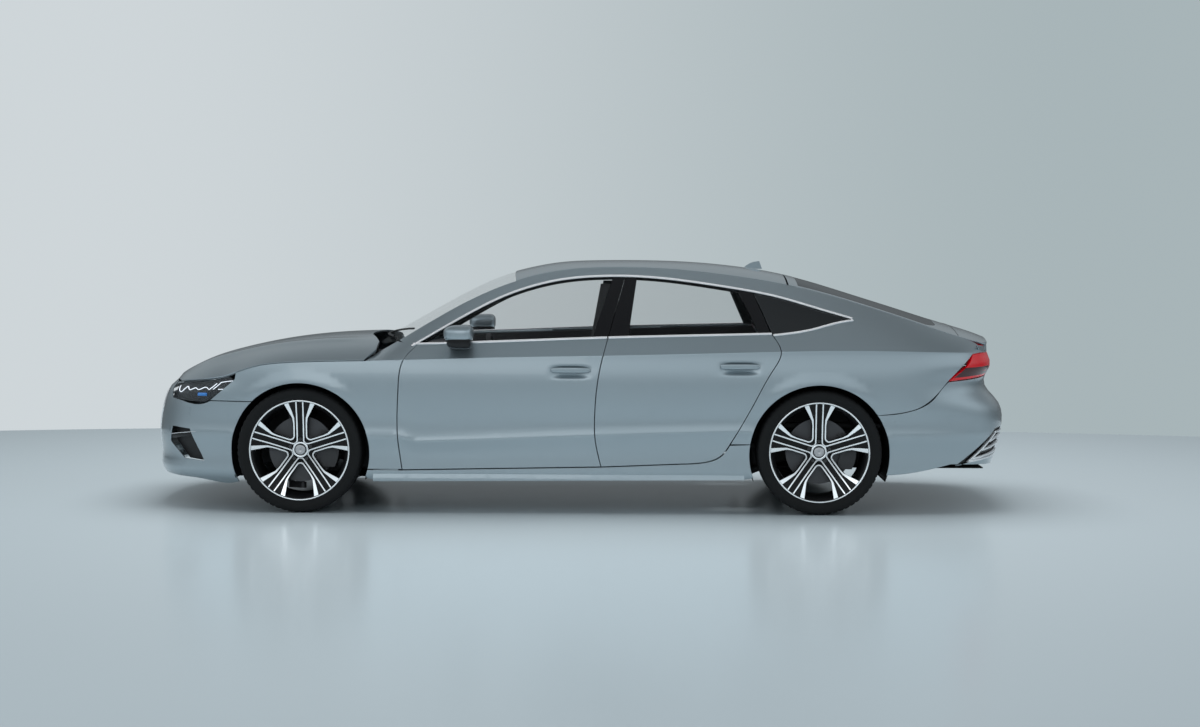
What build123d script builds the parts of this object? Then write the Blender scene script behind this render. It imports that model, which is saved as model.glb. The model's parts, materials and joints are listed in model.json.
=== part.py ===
"""Four-door fastback coupe: body shell, doors, lids, glass, cabin and running gear.

Millimetres. +X points to the nose, +Y to the left side, +Z up, with the
origin on the ground under the middle of the car.
"""

import os

import numpy as np
from build123d import *

# Overall sizes
LENGTH = 4969
HALF_WIDTH = 954
WHEELBASE = 2926
FRONT_AXLE = LENGTH / 2 - 920
REAR_AXLE = FRONT_AXLE - WHEELBASE
TRACK_FRONT = 1651
TRACK_REAR = 1637

# Thicknesses of the body walls
SKIN = 22
RAIL = 30
GLASS = 8
HOOD = 14
DOOR_INNER_Y = 828

# Clearances
SHUT_LINE = 6
SEAT = 0.3
PIN_CLEARANCE = 0.25
GLASS_EDGE = 8

# Wheels
TYRE_RADIUS = 352
TYRE_WIDTH = 255
RIM_RADIUS = 284
RIM_SEAT_RADIUS = 268
RIM_HALF_WIDTH = 118
HUB_FACE = 33
SPINDLE_RADIUS = 32
BOLT_CIRCLE = 56
BOLT_HOLE = 7.5
DISC_RADIUS = 185
ARCH_RADIUS = 394
ARCH_HEIGHT = 338
LINER_RADIUS = 400

# Hinges
DOOR_SLANT = 0.75
CENTRE_GAP = 9
HINGE_Y = 905
FRONT_HINGE_X = 925
REAR_HINGE_X = -180
HINGE_HEIGHTS = (400, 700)
HINGE_PIN = 8
HINGE_PLATE = 12
HINGE_SWING = 23
HOOD_CROWN = 2.6
HOOD_HINGE = (1170, 924)
HOOD_HINGE_Y = 560
GATE_HINGE_X = -1232
GATE_HINGE_Y = 430
GATE_PIN = 5
GATE_GAP = 16
KINGPIN_Y = 790
KINGPIN_RADIUS = 9
BALL_JOINT_RISE = 210

# Lines of the side view, as (place along the car, height)
CREASE = [(-2400, 905), (-2185, 911), (-1632, 925), (-1140, 918), (-575, 902), (-127, 891), (547, 877),
          (1000, 865), (1513, 855), (1654, 848), (1807, 828), (1914, 795), (2000, 766), (2100, 748), (2291, 724)]
BELT = [(-1100, 1012), (-913, 1007), (-125, 986), (439, 964), (868, 948), (990, 944)]
QUARTER_BELT = [(-1100, 1012), (-1193, 1022), (-1333, 1046), (-1472, 1081), (-1560, 1094)]
WINDOW_TOP = [(-1560, 1096), (-1348, 1157), (-1150, 1214), (-855, 1270), (-613, 1305), (-373, 1328),
              (-132, 1331), (108, 1309), (285, 1267), (415, 1221), (573, 1145), (744, 1049), (942, 933)]
RAIL_EDGE = [(-2400, 925), (-2312, 956), (-2162, 1000), (-1998, 1054), (-1596, 1184), (-1255, 1275),
             (-856, 1342), (-534, 1376), (-212, 1386), (111, 1365), (364, 1305), (559, 1228), (716, 1148),
             (874, 1056), (1029, 963), (1250, 835)]
TOP_CENTRE = [(-2400, 976), (-2332, 1002), (-2188, 1046), (-1899, 1136), (-1610, 1226), (-1320, 1313),
              (-1176, 1348), (-959, 1384), (-671, 1412), (-380, 1422), (-100, 1421), (124, 1409), (268, 1385),
              (485, 1324), (774, 1184), (992, 1062), (1250, 912)]
HOOD_CENTRE = [(1000, 996), (1216, 989), (1427, 980), (1718, 951), (2009, 895), (2155, 852), (2301, 785),
               (2374, 742), (2447, 688)]
FRONT_DOOR_LEAD = [(984, 246), (1009, 450), (1009, 600), (1004, 700), (972, 871), (905, 945), (840, 1010)]
CENTRE_SHUT = [(-134, 268), (-101, 420), (-98, 560), (-104, 660), (-132, 844), (-169, 990), (-190, 1060)]
REAR_DOOR_TRAIL = [(-578, 286), (-720, 297), (-802, 328), (-855, 394), (-989, 626), (-1093, 814), (-1140, 915),
                   (-1088, 1016)]

# Half-widths in plan, as (place along the car, half-width)
CREASE_HALF = [(-2400, 690), (-2250, 795), (-2100, 850), (-1900, 893), (-1632, 921), (-1140, 936), (-127, 937),
               (1000, 932), (1250, 930)]
RAIL_HALF = [(-2400, 540), (-2330, 590), (-2260, 622), (-2162, 640), (-1998, 640), (-1596, 604), (-1149, 572),
             (-534, 568), (-212, 571), (111, 582), (364, 612), (559, 652), (716, 690), (874, 720), (1029, 748),
             (1250, 790)]
HOOD_HALF = [(1000, 931), (1513, 932), (1654, 927), (1807, 915), (1914, 898), (2000, 876), (2100, 832),
             (2200, 765), (2291, 690), (2380, 590), (2447, 520)]

# Plan of the widest waterline, nose centre to tail centre
PLAN = [(2484.5, 0), (2481, 150), (2470, 300), (2445, 450), (2400, 590), (2330, 700), (2220, 795), (2050, 868),
        (1850, 920), (1564, 950), (1000, 953), (0, 954), (-700, 954), (-1361, 954), (-1700, 940), (-1950, 912),
        (-2150, 858), (-2290, 788), (-2375, 700), (-2430, 580), (-2465, 400), (-2480, 200), (-2484.5, 0)]
# Half-width, nose and tail of the other waterlines, as (height, value)
FLANK = [(150, 890), (195, 918), (262, 929), (320, 929), (380, 938), (435, 947), (500, 946), (580, 950),
         (680, 954), (790, 951), (891, 937), (1020, 930)]
NOSE = [(150, 2440), (185, 2464), (220, 2482), (290, 2480), (360, 2484.5), (500, 2482), (576, 2468), (648, 2444),
        (690, 2418), (721, 2382), (800, 2340), (1020, 2300)]
TAIL = [(150, -2380), (300, -2440), (409, -2468), (551, -2484.5), (622, -2454), (692, -2392), (727, -2378),
        (763, -2382), (834, -2414), (904, -2394), (975, -2391), (1020, -2380)]
WATERLINES = (150, 220, 330, 435, 540, 640, 720, 790, 850, 910, 960, 1020)
STATIONS = (1250, 1050, 850, 600, 350, 100, -250, -650, -1050, -1400, -1750, -2050, -2250, -2400)
HOOD_STATIONS = (1000, 1250, 1500, 1700, 1850, 1980, 2100, 2200, 2300, 2380, 2447)


def curve(points):
    """Smooth curve through (place, value) points, held level beyond its ends."""
    x, y = np.array(sorted(points), float).T
    count = len(x)
    step = np.diff(x)
    matrix = np.eye(count)
    right = np.zeros(count)
    for i in range(1, count - 1):
        matrix[i, i - 1:i + 2] = step[i - 1], 2 * (step[i - 1] + step[i]), step[i]
        right[i] = 6 * ((y[i + 1] - y[i]) / step[i] - (y[i] - y[i - 1]) / step[i - 1])
    bend = np.linalg.solve(matrix, right)

    def value(place):
        q = np.clip(place, x[0], x[-1])
        i = np.clip(np.searchsorted(x, q) - 1, 0, count - 2)
        a = x[i + 1] - q
        b = q - x[i]
        cubic = (bend[i] * a**3 + bend[i + 1] * b**3) / (6 * step[i])
        return (cubic + (y[i] / step[i] - bend[i] * step[i] / 6) * a
                + (y[i + 1] / step[i] - bend[i + 1] * step[i] / 6) * b)

    return value


crease_z = curve(CREASE)
rail_z = curve(RAIL_EDGE)
top_z = curve(TOP_CENTRE)
hood_z = curve(HOOD_CENTRE)
crease_y = curve(CREASE_HALF)
rail_y = curve(RAIL_HALF)
hood_y = curve(HOOD_HALF)
flank_y = curve(FLANK)
nose_x = curve(NOSE)
tail_x = curve(TAIL)


def ease(value):
    """Smooth step from 0 to 1."""
    u = np.clip(value, 0, 1)
    return u * u * (3 - 2 * u)


def waterline(height, inset):
    """Closed plan outline of the lower body at one height, drawn in by inset."""
    plan = np.array(PLAN, float)
    x, y = plan.T
    to_nose = ease((x - 1700) / 700)
    to_tail = ease((-1650 - x) / 730)
    x = x + (nose_x(height) - LENGTH / 2) * to_nose + (tail_x(height) + LENGTH / 2) * to_tail
    y = y * flank_y(height) / HALF_WIDTH
    ring = np.vstack([np.c_[x, y], np.c_[x, -y][-2:0:-1]])
    along = np.roll(ring, -1, 0) - np.roll(ring, 1, 0)
    inward = np.c_[along[:, 1], -along[:, 0]] / np.linalg.norm(along, axis=1)[:, None]
    ring = ring - inset * inward * np.sign(inward[0, 0])
    return Wire(Spline(*[(px, py, height) for px, py in ring], periodic=True))


def lower_body(inset):
    """Solid of the lower body: waterlines from the sills to above the shoulder crease, open upward."""
    hull = Solid.make_loft([waterline(z, inset) for z in WATERLINES])
    return hull + box((-2450, 1300), (-1100, 1100), (WATERLINES[-1], 1500))


def side_half(x, height):
    """Half-width of the upper side between the shoulder crease and the roof rail."""
    part = (height - crease_z(x)) / (rail_z(x) - crease_z(x))
    return crease_y(x) - (crease_y(x) - rail_y(x)) * (0.75 * part + 0.25 * part * part)


def upper_section(x, inset):
    """Closed section of the cabin at one place along the car, drawn in by inset."""
    low = crease_z(x) - 0.4 * (rail_z(x) - crease_z(x))
    heights = np.linspace(low, rail_z(x), 6)
    side = [(side_half(x, z) - 1.15 * inset, z - 0.3 * inset) for z in heights]
    edge_y, edge_z = side[-1]
    rise = top_z(x) - inset - edge_z
    across = np.linspace(1, -1, 9)
    roof = [(x, edge_y * s, edge_z + rise * (1 - abs(s)**2.4)) for s in across]
    left = Spline(*[(x, y, z) for y, z in side])
    right = Spline(*[(x, -y, z) for y, z in reversed(side)])
    foot_y, foot_z = side[0]
    floor = Polyline((x, -foot_y, foot_z), (x, -foot_y, 100), (x, foot_y, 100), (x, foot_y, foot_z))
    return Wire([left, Spline(*roof), right, *floor.edges()])


def upper_body(inset):
    """Solid under the windscreen, roof, tail and upper sides."""
    return Solid.make_loft([upper_section(x, inset) for x in STATIONS])


def hood_section(x, inset):
    """Closed section under the hood at one place along the car."""
    across = np.linspace(1000, -1000, 11)
    drop = hood_z(x) - crease_z(x)
    top = [(x, y, hood_z(x) - inset - drop * (abs(y) / hood_y(x))**HOOD_CROWN) for y in across]
    sides = Polyline(top[-1], (x, -1000, -900), (x, 1000, -900), top[0])
    return Wire([Spline(*top), *sides.edges()])


def hood_body(inset):
    """Solid under the hood surface."""
    return Solid.make_loft([hood_section(x, inset) for x in HOOD_STATIONS])


def outline(place, runs):
    """Face from runs of points: two points make a straight run, more make a smooth one."""
    edges = []
    for run in runs:
        points = [place(*p) for p in run]
        edges.append(Line(*points) if len(points) == 2 else Spline(*points))
    start = place(*runs[0][0])
    end = place(*runs[-1][-1])
    if (Vector(start) - Vector(end)).length > 0.01:
        edges.append(Line(end, start))
    return Face(Wire(edges))


def side_prism(runs, near, far, slant=0):
    """Side-view outline carried across the car from y=near to y=far."""
    face = outline(lambda x, z: (x, near, z), runs)
    return Solid.extrude(face, (slant * (near - far), far - near, 0))


def plan_prism(runs, low, high):
    """Plan-view outline carried from z=low to z=high."""
    return Solid.extrude(outline(lambda x, y: (x, y, low), runs), (0, 0, high - low))


def front_prism(runs, back, front):
    """Front-view outline carried from x=back to x=front."""
    return Solid.extrude(outline(lambda y, z: (back, y, z), runs), (front - back, 0, 0))


def polygon(*points):
    """Closed run of straight sides."""
    ring = list(points) + [points[0]]
    return [[a, b] for a, b in zip(ring, ring[1:])]


def box(x, y, z):
    """Block between two places on each axis."""
    size = (x[1] - x[0], y[1] - y[0], z[1] - z[0])
    middle = (sum(x) / 2, sum(y) / 2, sum(z) / 2)
    return Location(middle) * Box(*size)


def rod(start, end, radius):
    """Round bar between two points."""
    line = Vector(end) - Vector(start)
    return Solid.make_cylinder(radius, line.length, Plane(origin=start, z_dir=line))


def shifted(points, dx, dz=0):
    """Points moved along the car and up."""
    return [(x + dx, z + dz) for x, z in points]


def mirrored(shape):
    """The same piece on the right side."""
    return mirror(shape, Plane.XZ)


def solids_of(shape, least=2000):
    """The pieces of a shape without crumbs, as one compound when there are several."""
    kept = [s for s in shape.solids() if s.volume > least]
    return kept[0] if len(kept) == 1 else Compound(kept)


def save(name, shape):
    """Write one named piece."""
    export_step(solids_of(shape), f"parts/{name}.step")


def save_pair(name, shape):
    """Write a left and a right piece under one name."""
    left = solids_of(shape)
    save(name, Compound([*left.solids(), *mirrored(left).solids()]))


def door_tool(lead, trail, grow):
    """Slanted prism round a door outline, larger by grow; its inner side lies further forward."""
    front = shifted(lead, grow)
    back = shifted(trail, -grow)
    first = (front[0][0], front[0][1] - grow)
    last = (back[0][0], back[0][1] - grow)
    front[0] = first
    back[0] = last
    top = [(front[-1][0], 1120), (back[-1][0], 1120)]
    runs = [front, [front[-1], top[0]], [top[0], top[1]], [top[1], back[-1]], back[::-1], [last, first]]
    reach = 150
    moved = [[(x - DOOR_SLANT * reach, z) for x, z in run] for run in runs]
    return side_prism(moved, 945 + reach, 680, DOOR_SLANT)


def arches(radius, inner):
    """Bores for the wheels, both sides."""
    bores = []
    for x in (FRONT_AXLE, REAR_AXLE):
        for side in (1, -1):
            bores.append(rod((x, side * inner, ARCH_HEIGHT), (x, side * 1100, ARCH_HEIGHT), radius))
    return bores


os.makedirs("parts", exist_ok=True)

lower = lower_body(0)
lower_in = lower_body(SKIN)
upper = upper_body(0)
upper_glass = upper_body(GLASS)
upper_in = upper_body(RAIL)
hood_top = hood_body(0)
hood_under = hood_body(HOOD)
arch_bores = arches(ARCH_RADIUS, 400)

# Doors, front and rear on the left, mirrored to the right
below_belt = side_prism([BELT, [BELT[-1], (1300, 944)], [(1300, 944), (1300, 0)], [(1300, 0), (-1700, 0)],
                         [(-1700, 0), (-1700, 1012)], [(-1700, 1012), BELT[0]]], 1100, 600)
side_block = lower & upper
rear_lead = shifted(CENTRE_SHUT, SHUT_LINE / 2 - CENTRE_GAP)
front_trail = shifted(CENTRE_SHUT, SHUT_LINE / 2)
space_top = (Location((0, 0, SHUT_LINE)) * below_belt) & box((-1700, 1300), (DOOR_INNER_Y - 18, 1100), (100, 1100))
front_door_space = door_tool(FRONT_DOOR_LEAD, front_trail, SHUT_LINE) & space_top
rear_door_space = door_tool(rear_lead, REAR_DOOR_TRAIL, SHUT_LINE) & space_top


def door(lead, trail, hinge_x):
    """Door as thick as the whole wall, thinned at its leading edge, slotted for its hinges."""
    front = max(x for x, z in lead)
    inner = plan_prism(polygon((-1400, 1100), (-1400, DOOR_INNER_Y), (front - 60, DOOR_INNER_Y),
                               (front + 26, 913), (front + 60, 913), (front + 60, 1100)), 100, 1100)
    space = door_tool(lead, trail, 0) & below_belt & inner
    for height in HINGE_HEIGHTS:
        half = HINGE_PLATE / 2 + SHUT_LINE - 1
        space -= box((hinge_x - 26, front + 60), (700, HINGE_Y + HINGE_SWING), (height - half, height + half))
        reach = half + 16
        space -= rod((hinge_x, HINGE_Y, height - reach), (hinge_x, HINGE_Y, height + reach), HINGE_PIN + PIN_CLEARANCE)
    return side_block & space


def handle(x, z):
    """Pull handle standing off the door skin on two feet."""
    grip = Location((x, 966, z)) * Box(236, 14, 26)
    grip = fillet(grip.edges().filter_by(Axis.X), 6)
    for end in (-95, 95):
        grip += box((x + end - 18, x + end + 18), (930, 964), (z - 10, z + 10))
    return grip


front_door = door(FRONT_DOOR_LEAD, front_trail, FRONT_HINGE_X) + handle(38, 806)
rear_door = door(rear_lead, REAR_DOOR_TRAIL, REAR_HINGE_X) + handle(-912, 828)
for end, panel in (("front", front_door), ("rear", rear_door)):
    save(f"door_{end}_left", panel)
    save(f"door_{end}_right", mirrored(panel))

# Side glass: two door panes without frames and the fixed quarter pane
pane_shell = upper - upper_glass
window_top_in = shifted(WINDOW_TOP, 0, -GLASS_EDGE)


def pane(lower_run, front, back):
    """Side pane above a belt run, between a front and a back line."""
    sill = shifted(lower_run, 0, SEAT)
    side = side_prism([sill, [sill[-1], (sill[-1][0], 1500)], [(sill[-1][0], 1500), (sill[0][0], 1500)],
                       [(sill[0][0], 1500), sill[0]]], 1100, 300)
    under = side_prism([window_top_in, [window_top_in[-1], (1300, 933)], [(1300, 933), (1300, 100)],
                        [(1300, 100), (-1800, 100)], [(-1800, 100), (-1800, 1090)],
                        [(-1800, 1090), window_top_in[0]]], 1100, 300)
    between = side_prism(polygon((front[0], 900), (front[1], 1400), (back[1], 1400), (back[0], 900)), 1100, 300)
    return pane_shell & (side & under & between)


B_LINE = (-147, -222)
C_LINE = (-1075, -1130)
half_gap = SHUT_LINE / 2
front_pane = pane(BELT, (860, 860), (B_LINE[0] + half_gap, B_LINE[1] + half_gap))
rear_pane = pane(BELT, (B_LINE[0] - half_gap, B_LINE[1] - half_gap), (C_LINE[0] + half_gap, C_LINE[1] + half_gap))
quarter_pane = pane(QUARTER_BELT[::-1], (C_LINE[0] - half_gap, C_LINE[1] - half_gap), (-1530, -1530))
for end, panel in (("front", front_pane), ("rear", rear_pane)):
    save(f"door_glass_{end}_left", panel)
    save(f"door_glass_{end}_right", mirrored(panel))

# Body sides: A-pillar foot, roof rail, C-pillar and quarter panel in one piece
outside_rail = plan_prism([[(x, y + SEAT / 2) for x, y in RAIL_HALF], [(1250, 790 + SEAT / 2), (1250, 1100)],
                           [(1250, 1100), (-2400, 1100)], [(-2400, 1100), (-2400, 540 + SEAT / 2)]], 100, 1500)
side_area = side_prism(polygon((1110, 900), (1020, 950), (1020, 1500), (-2296, 1500), (-2296, 912), (-2230, 900),
                               (-2086, 756), (-1915, 601), (-1708, 560), (-1600, 290), (-948, 290),
                               (-948, 880), (930, 869), (1120, 866), (1120, 880)), 1100, 300)
window_hole = side_prism([WINDOW_TOP, [WINDOW_TOP[-1], (990, 900)], [(990, 900), (-1100, 900)],
                          [(-1100, 900), QUARTER_BELT[0]], QUARTER_BELT, [QUARTER_BELT[-1], WINDOW_TOP[0]]],
                         1100, 300)
side_shell = side_block - (lower_in & upper_in)
side_area = (side_area & outside_rail) - window_hole - front_door_space - rear_door_space
for bore in arch_bores[::2]:
    side_area -= bore
save_pair("body_sides", side_shell & side_area)
save_pair("quarter_glass", quarter_pane)



def sill_top(x):
    """Height of the sill panel's top edge under the front door and fender."""
    return 244 + (1150 - x) * 24 / 1279


# Sills under the doors, with the box section that the doors shut against
sill_area = side_prism([[(1150, 179), (-950, 196)], [(-950, 196), (-950, 280)], [(-950, 280), (-578, 280)],
                        [(-578, 280), (-129, sill_top(-129))], [(-129, sill_top(-129)), (1150, sill_top(1150))]], 1100, 700)
sill_area = (sill_area & box((-940, 1160), (760, 1000), (100, 400))) - rear_door_space - front_door_space
sill = lower & sill_area
sill += box((-900, 1110), (760, 804), (200, 330))
save_pair("sill_panels", sill)


def hinge_plates(x, inner):
    """Hinge plates and their upright pins, standing out from a pillar."""
    parts = []
    for height in HINGE_HEIGHTS:
        half = HINGE_PLATE / 2
        parts.append(box((x - 15, x + 15), (inner, HINGE_Y + 12), (height - half, height + half)))
        reach = half + SHUT_LINE - 1 + 15
        parts.append(rod((x, HINGE_Y, height - reach), (x, HINGE_Y, height + reach), HINGE_PIN))
    return parts


# Hinge pillars behind the front fenders and the pillars between the doors
hinge_pillar = box((900, 1100), (735, 795), (330 + SEAT, 850))
for piece in hinge_plates(FRONT_HINGE_X, 790):
    hinge_pillar += piece
save_pair("hinge_pillars", hinge_pillar)

PILLAR_FEET = ((735, 795), (330 + SEAT, 950))
pillar_low = box((-215, -65), *PILLAR_FEET)
pillar_high = Solid.make_loft([
    Wire(Polyline((-215, y, z), (-65 - lean, y, z), (-65 - lean, y + 60, z), (-215, y + 60, z), close=True))
    for y, z, lean in ((735, 950, 0), (700, 1060, 20), (562, 1290, 60))])
centre_pillar = pillar_low + pillar_high
for piece in hinge_plates(REAR_HINGE_X, 790):
    centre_pillar += piece
save_pair("centre_pillars", centre_pillar)

# Front fenders
fender_area = side_prism([shifted(CREASE[7:11], 0, -HOOD - SHUT_LINE), [(1807, 808), (1900, 770)],
                          [(1900, 770), (1930, 738)],
                          [(1930, 738), (2080, 628)], [(2080, 628), (1820, 628)], [(1820, 628), (1790, 560)],
                          [(1790, 560), (1700, sill_top(1700) + SEAT)],
                          [(1700, sill_top(1700) + SEAT), (960, sill_top(960) + SEAT)],
                          [(960, sill_top(960) + SEAT), (960, 846)]], 1100, 500)
fender_area -= front_door_space
for bore in arch_bores[::2]:
    fender_area -= bore
lower_shell = lower - lower_in
save_pair("front_fenders", lower_shell & fender_area)

# Top panels between the roof rails
inside_rail = plan_prism([[(x, y - SEAT) for x, y in RAIL_HALF], [(1250, 790 - SEAT), (1250, -790 + SEAT)],
                          [(x, -y + SEAT) for x, y in reversed(RAIL_HALF)],
                          [(-2400, -540 + SEAT), (-2400, 540 - SEAT)]], 100, 1500)
SCREEN_TOP = [(330, -700), (372, -350), (385, 0), (372, 350), (330, 700)]
SCREEN_FOOT = [(1005, -780), (1120, -500), (1190, -250), (1212, 0), (1190, 250), (1120, 500), (1005, 780)]
screen_area = plan_prism([SCREEN_TOP, [SCREEN_TOP[-1], SCREEN_FOOT[-1]], SCREEN_FOOT[::-1],
                          [SCREEN_FOOT[0], SCREEN_TOP[0]]], 800, 1500)
save("windscreen", pane_shell & (inside_rail & screen_area))

ROOF_REAR = -1196
roof_front = [(x - SEAT, y) for x, y in SCREEN_TOP]
roof_area = plan_prism([roof_front, [roof_front[-1], (ROOF_REAR, 700)], [(ROOF_REAR, 700), (ROOF_REAR, -700)],
                        [(ROOF_REAR, -700), roof_front[0]]], 1100, 1500)
top_shell = upper - upper_in
roof = top_shell & (inside_rail & roof_area)
gate_z = float(top_z(GATE_HINGE_X)) - 20
for side in (1, -1):
    y = side * GATE_HINGE_Y
    plate = side_prism(polygon((ROOF_REAR + 40, gate_z - 22), (GATE_HINGE_X - 9, gate_z - 12),
                               (GATE_HINGE_X - 9, gate_z + 8), (GATE_HINGE_X + 9, gate_z + 8),
                               (ROOF_REAR + 20, gate_z - 10), (ROOF_REAR + 40, gate_z + 10)), y + 6, y - 6)
    roof += plate
    roof += rod((GATE_HINGE_X, y - 24, gate_z), (GATE_HINGE_X, y + 24, gate_z), GATE_PIN)
save("roof_panel", roof)

# Tailgate with its glass and lamp bar
GATE_FRONT = ROOF_REAR - GATE_GAP
gate_half = [(x, y - SHUT_LINE) for x, y in RAIL_HALF if x < GATE_FRONT]
gate_half = gate_half + [(GATE_FRONT, 572 - SHUT_LINE)]
gate_area = plan_prism([gate_half, [gate_half[-1], (GATE_FRONT, -572 + SHUT_LINE)],
                        [(x, -y) for x, y in reversed(gate_half)],
                        [(gate_half[0][0], -gate_half[0][1]), gate_half[0]]], 700, 1500)
glass_area = plan_prism(polygon((-1330, 520), (-2085, 575), (-2085, -575), (-1330, -520)), 700, 1500)
glass_hole = plan_prism(polygon((-1330 + SEAT, 520 + SEAT), (-2085 - SEAT, 575 + SEAT), (-2085 - SEAT, -575 - SEAT),
                                (-1330 + SEAT, -520 - SEAT)), 700, 1500)
tail_end = box((-2500, -1900), (-1000, 1000), (700, 1020))
tail_skin = (side_block & tail_end) - lower_in
gate_face = front_prism(polygon((-520, 772), (520, 772), (600, 905), (590, 960), (-590, 960), (-600, 905)), -2500, -2200)
gate = (top_shell & (gate_area - glass_hole)) & lower
gate += tail_skin & gate_face
lamp_bar_area = front_prism(polygon((-515, 800), (515, 800), (560, 880), (-560, 880)), -2500, -2200)
lamp_bar_hole = front_prism(polygon((-516, 799.5), (516, 799.5), (561, 880.5), (-561, 880.5)), -2500, -2200)
gate -= lamp_bar_hole
for side in (1, -1):
    y = side * GATE_HINGE_Y
    gate -= box((GATE_HINGE_X - 16, GATE_FRONT + 40), (y - 12, y + 12), (1200, 1500))
    ears = rod((GATE_HINGE_X, y - 30, gate_z), (GATE_HINGE_X, y + 30, gate_z), 13)
    ears -= box((GATE_HINGE_X - 40, GATE_HINGE_X + 40), (y - 12, y + 12), (1200, 1500))
    gate += ears
    gate -= rod((GATE_HINGE_X, y - 24.5, gate_z), (GATE_HINGE_X, y + 24.5, gate_z), GATE_PIN + PIN_CLEARANCE)
save("tailgate", gate)
save("rear_window", pane_shell & glass_area)
save("tail_lamp_bar", tail_skin & lamp_bar_area)

# Hood with two hinge ears under its rear edge
HOOD_REAR = [(1200, 918), (1146, 800), (1146, 640), (1217, 340), (1242, 0)]
hood_side = [(x, y - 5) for x, y in HOOD_HALF[1:9]]
hood_nose = [(2291, 685), (2330, 560), (2362, 350), (2380, 0)]
hood_area = plan_prism([HOOD_REAR[::-1], [HOOD_REAR[0], hood_side[0]], hood_side, hood_nose], 500, 1200)
hood_area += mirrored(hood_area)
hood = (hood_top - hood_under) & hood_area
hinge_x, hinge_z = HOOD_HINGE
for side in (1, -1):
    y = side * HOOD_HINGE_Y
    ear = box((hinge_x - 14, hinge_x + 30), (y - 5, y + 5), (hinge_z - 12, 1000)) & hood_top
    ear -= rod((hinge_x, y - 20, hinge_z), (hinge_x, y + 20, hinge_z), 6 + PIN_CLEARANCE)
    hood += ear
save("hood", hood)

# Cowl between hood and windscreen, carrying the hood's hinge pins
cowl_half = [(1235, 0), (1215, 340), (1180, 640), (1130, 712)]
cowl = plan_prism([cowl_half, [(1130, 712), (1040, 712)], [(1040, 712), (1040, -712)], [(1040, -712), (1130, -712)],
                   [(x, -y) for x, y in reversed(cowl_half)]], 860 + SEAT, 876)
for side in (1, -1):
    y = side * (HOOD_HINGE_Y - 16)
    cowl += box((hinge_x - 9, hinge_x + 9), (y - 5, y + 5), (870, hinge_z + 9))
    cowl += rod((hinge_x, y, hinge_z), (hinge_x, y + side * 26, hinge_z), 6)
save("cowl_panel", cowl)

# Front bumper, grille and headlamps
bumper_area = side_prism([[(1700, 620), (2070, 620)], [(2070, 620), (2262, 610)], [(2262, 610), (2330, 704)],
                          [(2330, 704), (2500, 704)], [(2500, 704), (2500, 215)], [(2500, 215), (2366, 262)],
                          [(2366, 262), (2179, 189), (1960, 151)], [(1960, 151), (1700, 151)]], 1100, -1100)
grille_area = front_prism(polygon((-330, 300), (330, 300), (470, 470), (420, 660), (-420, 660), (-470, 470)), 2200, 2600)
grille_hole = front_prism(polygon((-331, 299.5), (331, 299.5), (471, 470), (421, 660.5), (-421, 660.5), (-471, 470)),
                          2200, 2600)
intake = side_prism(polygon((2240, 350), (2206, 285), (2125, 279), (2180, 456), (2230, 460)), 1100, -1100)
bumper_area = bumper_area - grille_hole - intake
for bore in arch_bores[:2]:
    bumper_area -= bore
save("front_bumper", lower_shell & bumper_area)

for row in range(6):
    level = 330 + 56 * row
    slot = front_prism(polygon((-300, level), (300, level), (330, level + 36), (-330, level + 36)), 2200, 2600)
    grille_area -= slot
save("grille", lower_shell & grille_area)

lamp_area = side_prism(polygon((2322, 700), (2256, 617), (2084, 625.8), (1942, 729.9), (1955, 740), (2100, 722), (2300, 700)),
                       1100, 0)
lamp_depth = plan_prism(polygon((2420, 480), (2250, 480), (2130, 640), (1900, 790), (1900, 1000), (2420, 1000)), 500, 800)
save_pair("headlamps", lower & (lamp_area & lamp_depth))

# Rear bumper, lamps and exhaust trims
rear_area = side_prism(polygon((-1640, 200), (-1781, 223), (-2112, 281), (-2300, 300), (-2500, 380), (-2500, 766),
                               (-2236, 766), (-2225, 745), (-2092, 745), (-1920, 594), (-1708, 553)), 1100, -1100)
trim_side = side_prism(polygon((-2137, 262), (-2230, 470), (-2500, 480), (-2500, 240)), 1100, 380)
bumper_area = rear_area - trim_side - mirrored(trim_side)
for bore in arch_bores[2:]:
    bumper_area -= bore
save("rear_bumper", lower_shell & bumper_area)
trim_in = side_prism(polygon((-2137.5, 262), (-2230.5, 470 - SEAT), (-2500, 480 - SEAT), (-2500, 240)), 1100, 380 + SEAT)
save_pair("exhaust_trims", lower_shell & (rear_area & trim_in))

tail_area = side_prism(polygon((-2302, 902), (-2236, 893), (-2096, 753), (-2232, 766 + SEAT), (-2450, 766 + SEAT),
                               (-2450, 902)), 1100, 0)
tail_depth = front_prism(polygon((527, 700), (607, 905), (1000, 905), (1000, 700)), -2500, -2000)
save_pair("tail_lamps", tail_skin & (tail_area & tail_depth))

# Floor, bulkhead and luggage floor
FLOOR = [(1090, 860), (1090, 420), (930, 196), (-760, 196), (-830, 330), (-1050, 360), (-1080, 470), (-2220, 470)]
sheet = [(x - 24, z) if i < 2 else (x, z + 24) for i, (x, z) in enumerate(FLOOR)]
floor = side_prism(polygon(*FLOOR, *reversed(sheet)), 640, -640)
floor += box((-740, 900), (SEAT - 760, 760 - SEAT), (196, 220))
TOWER_REAR = 1500
for side in (1, -1):
    floor += box((1080, TOWER_REAR - SEAT), (min(side * 315, side * 375), max(side * 315, side * 375)), (470, 530))
save("floor_pan", floor)

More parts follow.
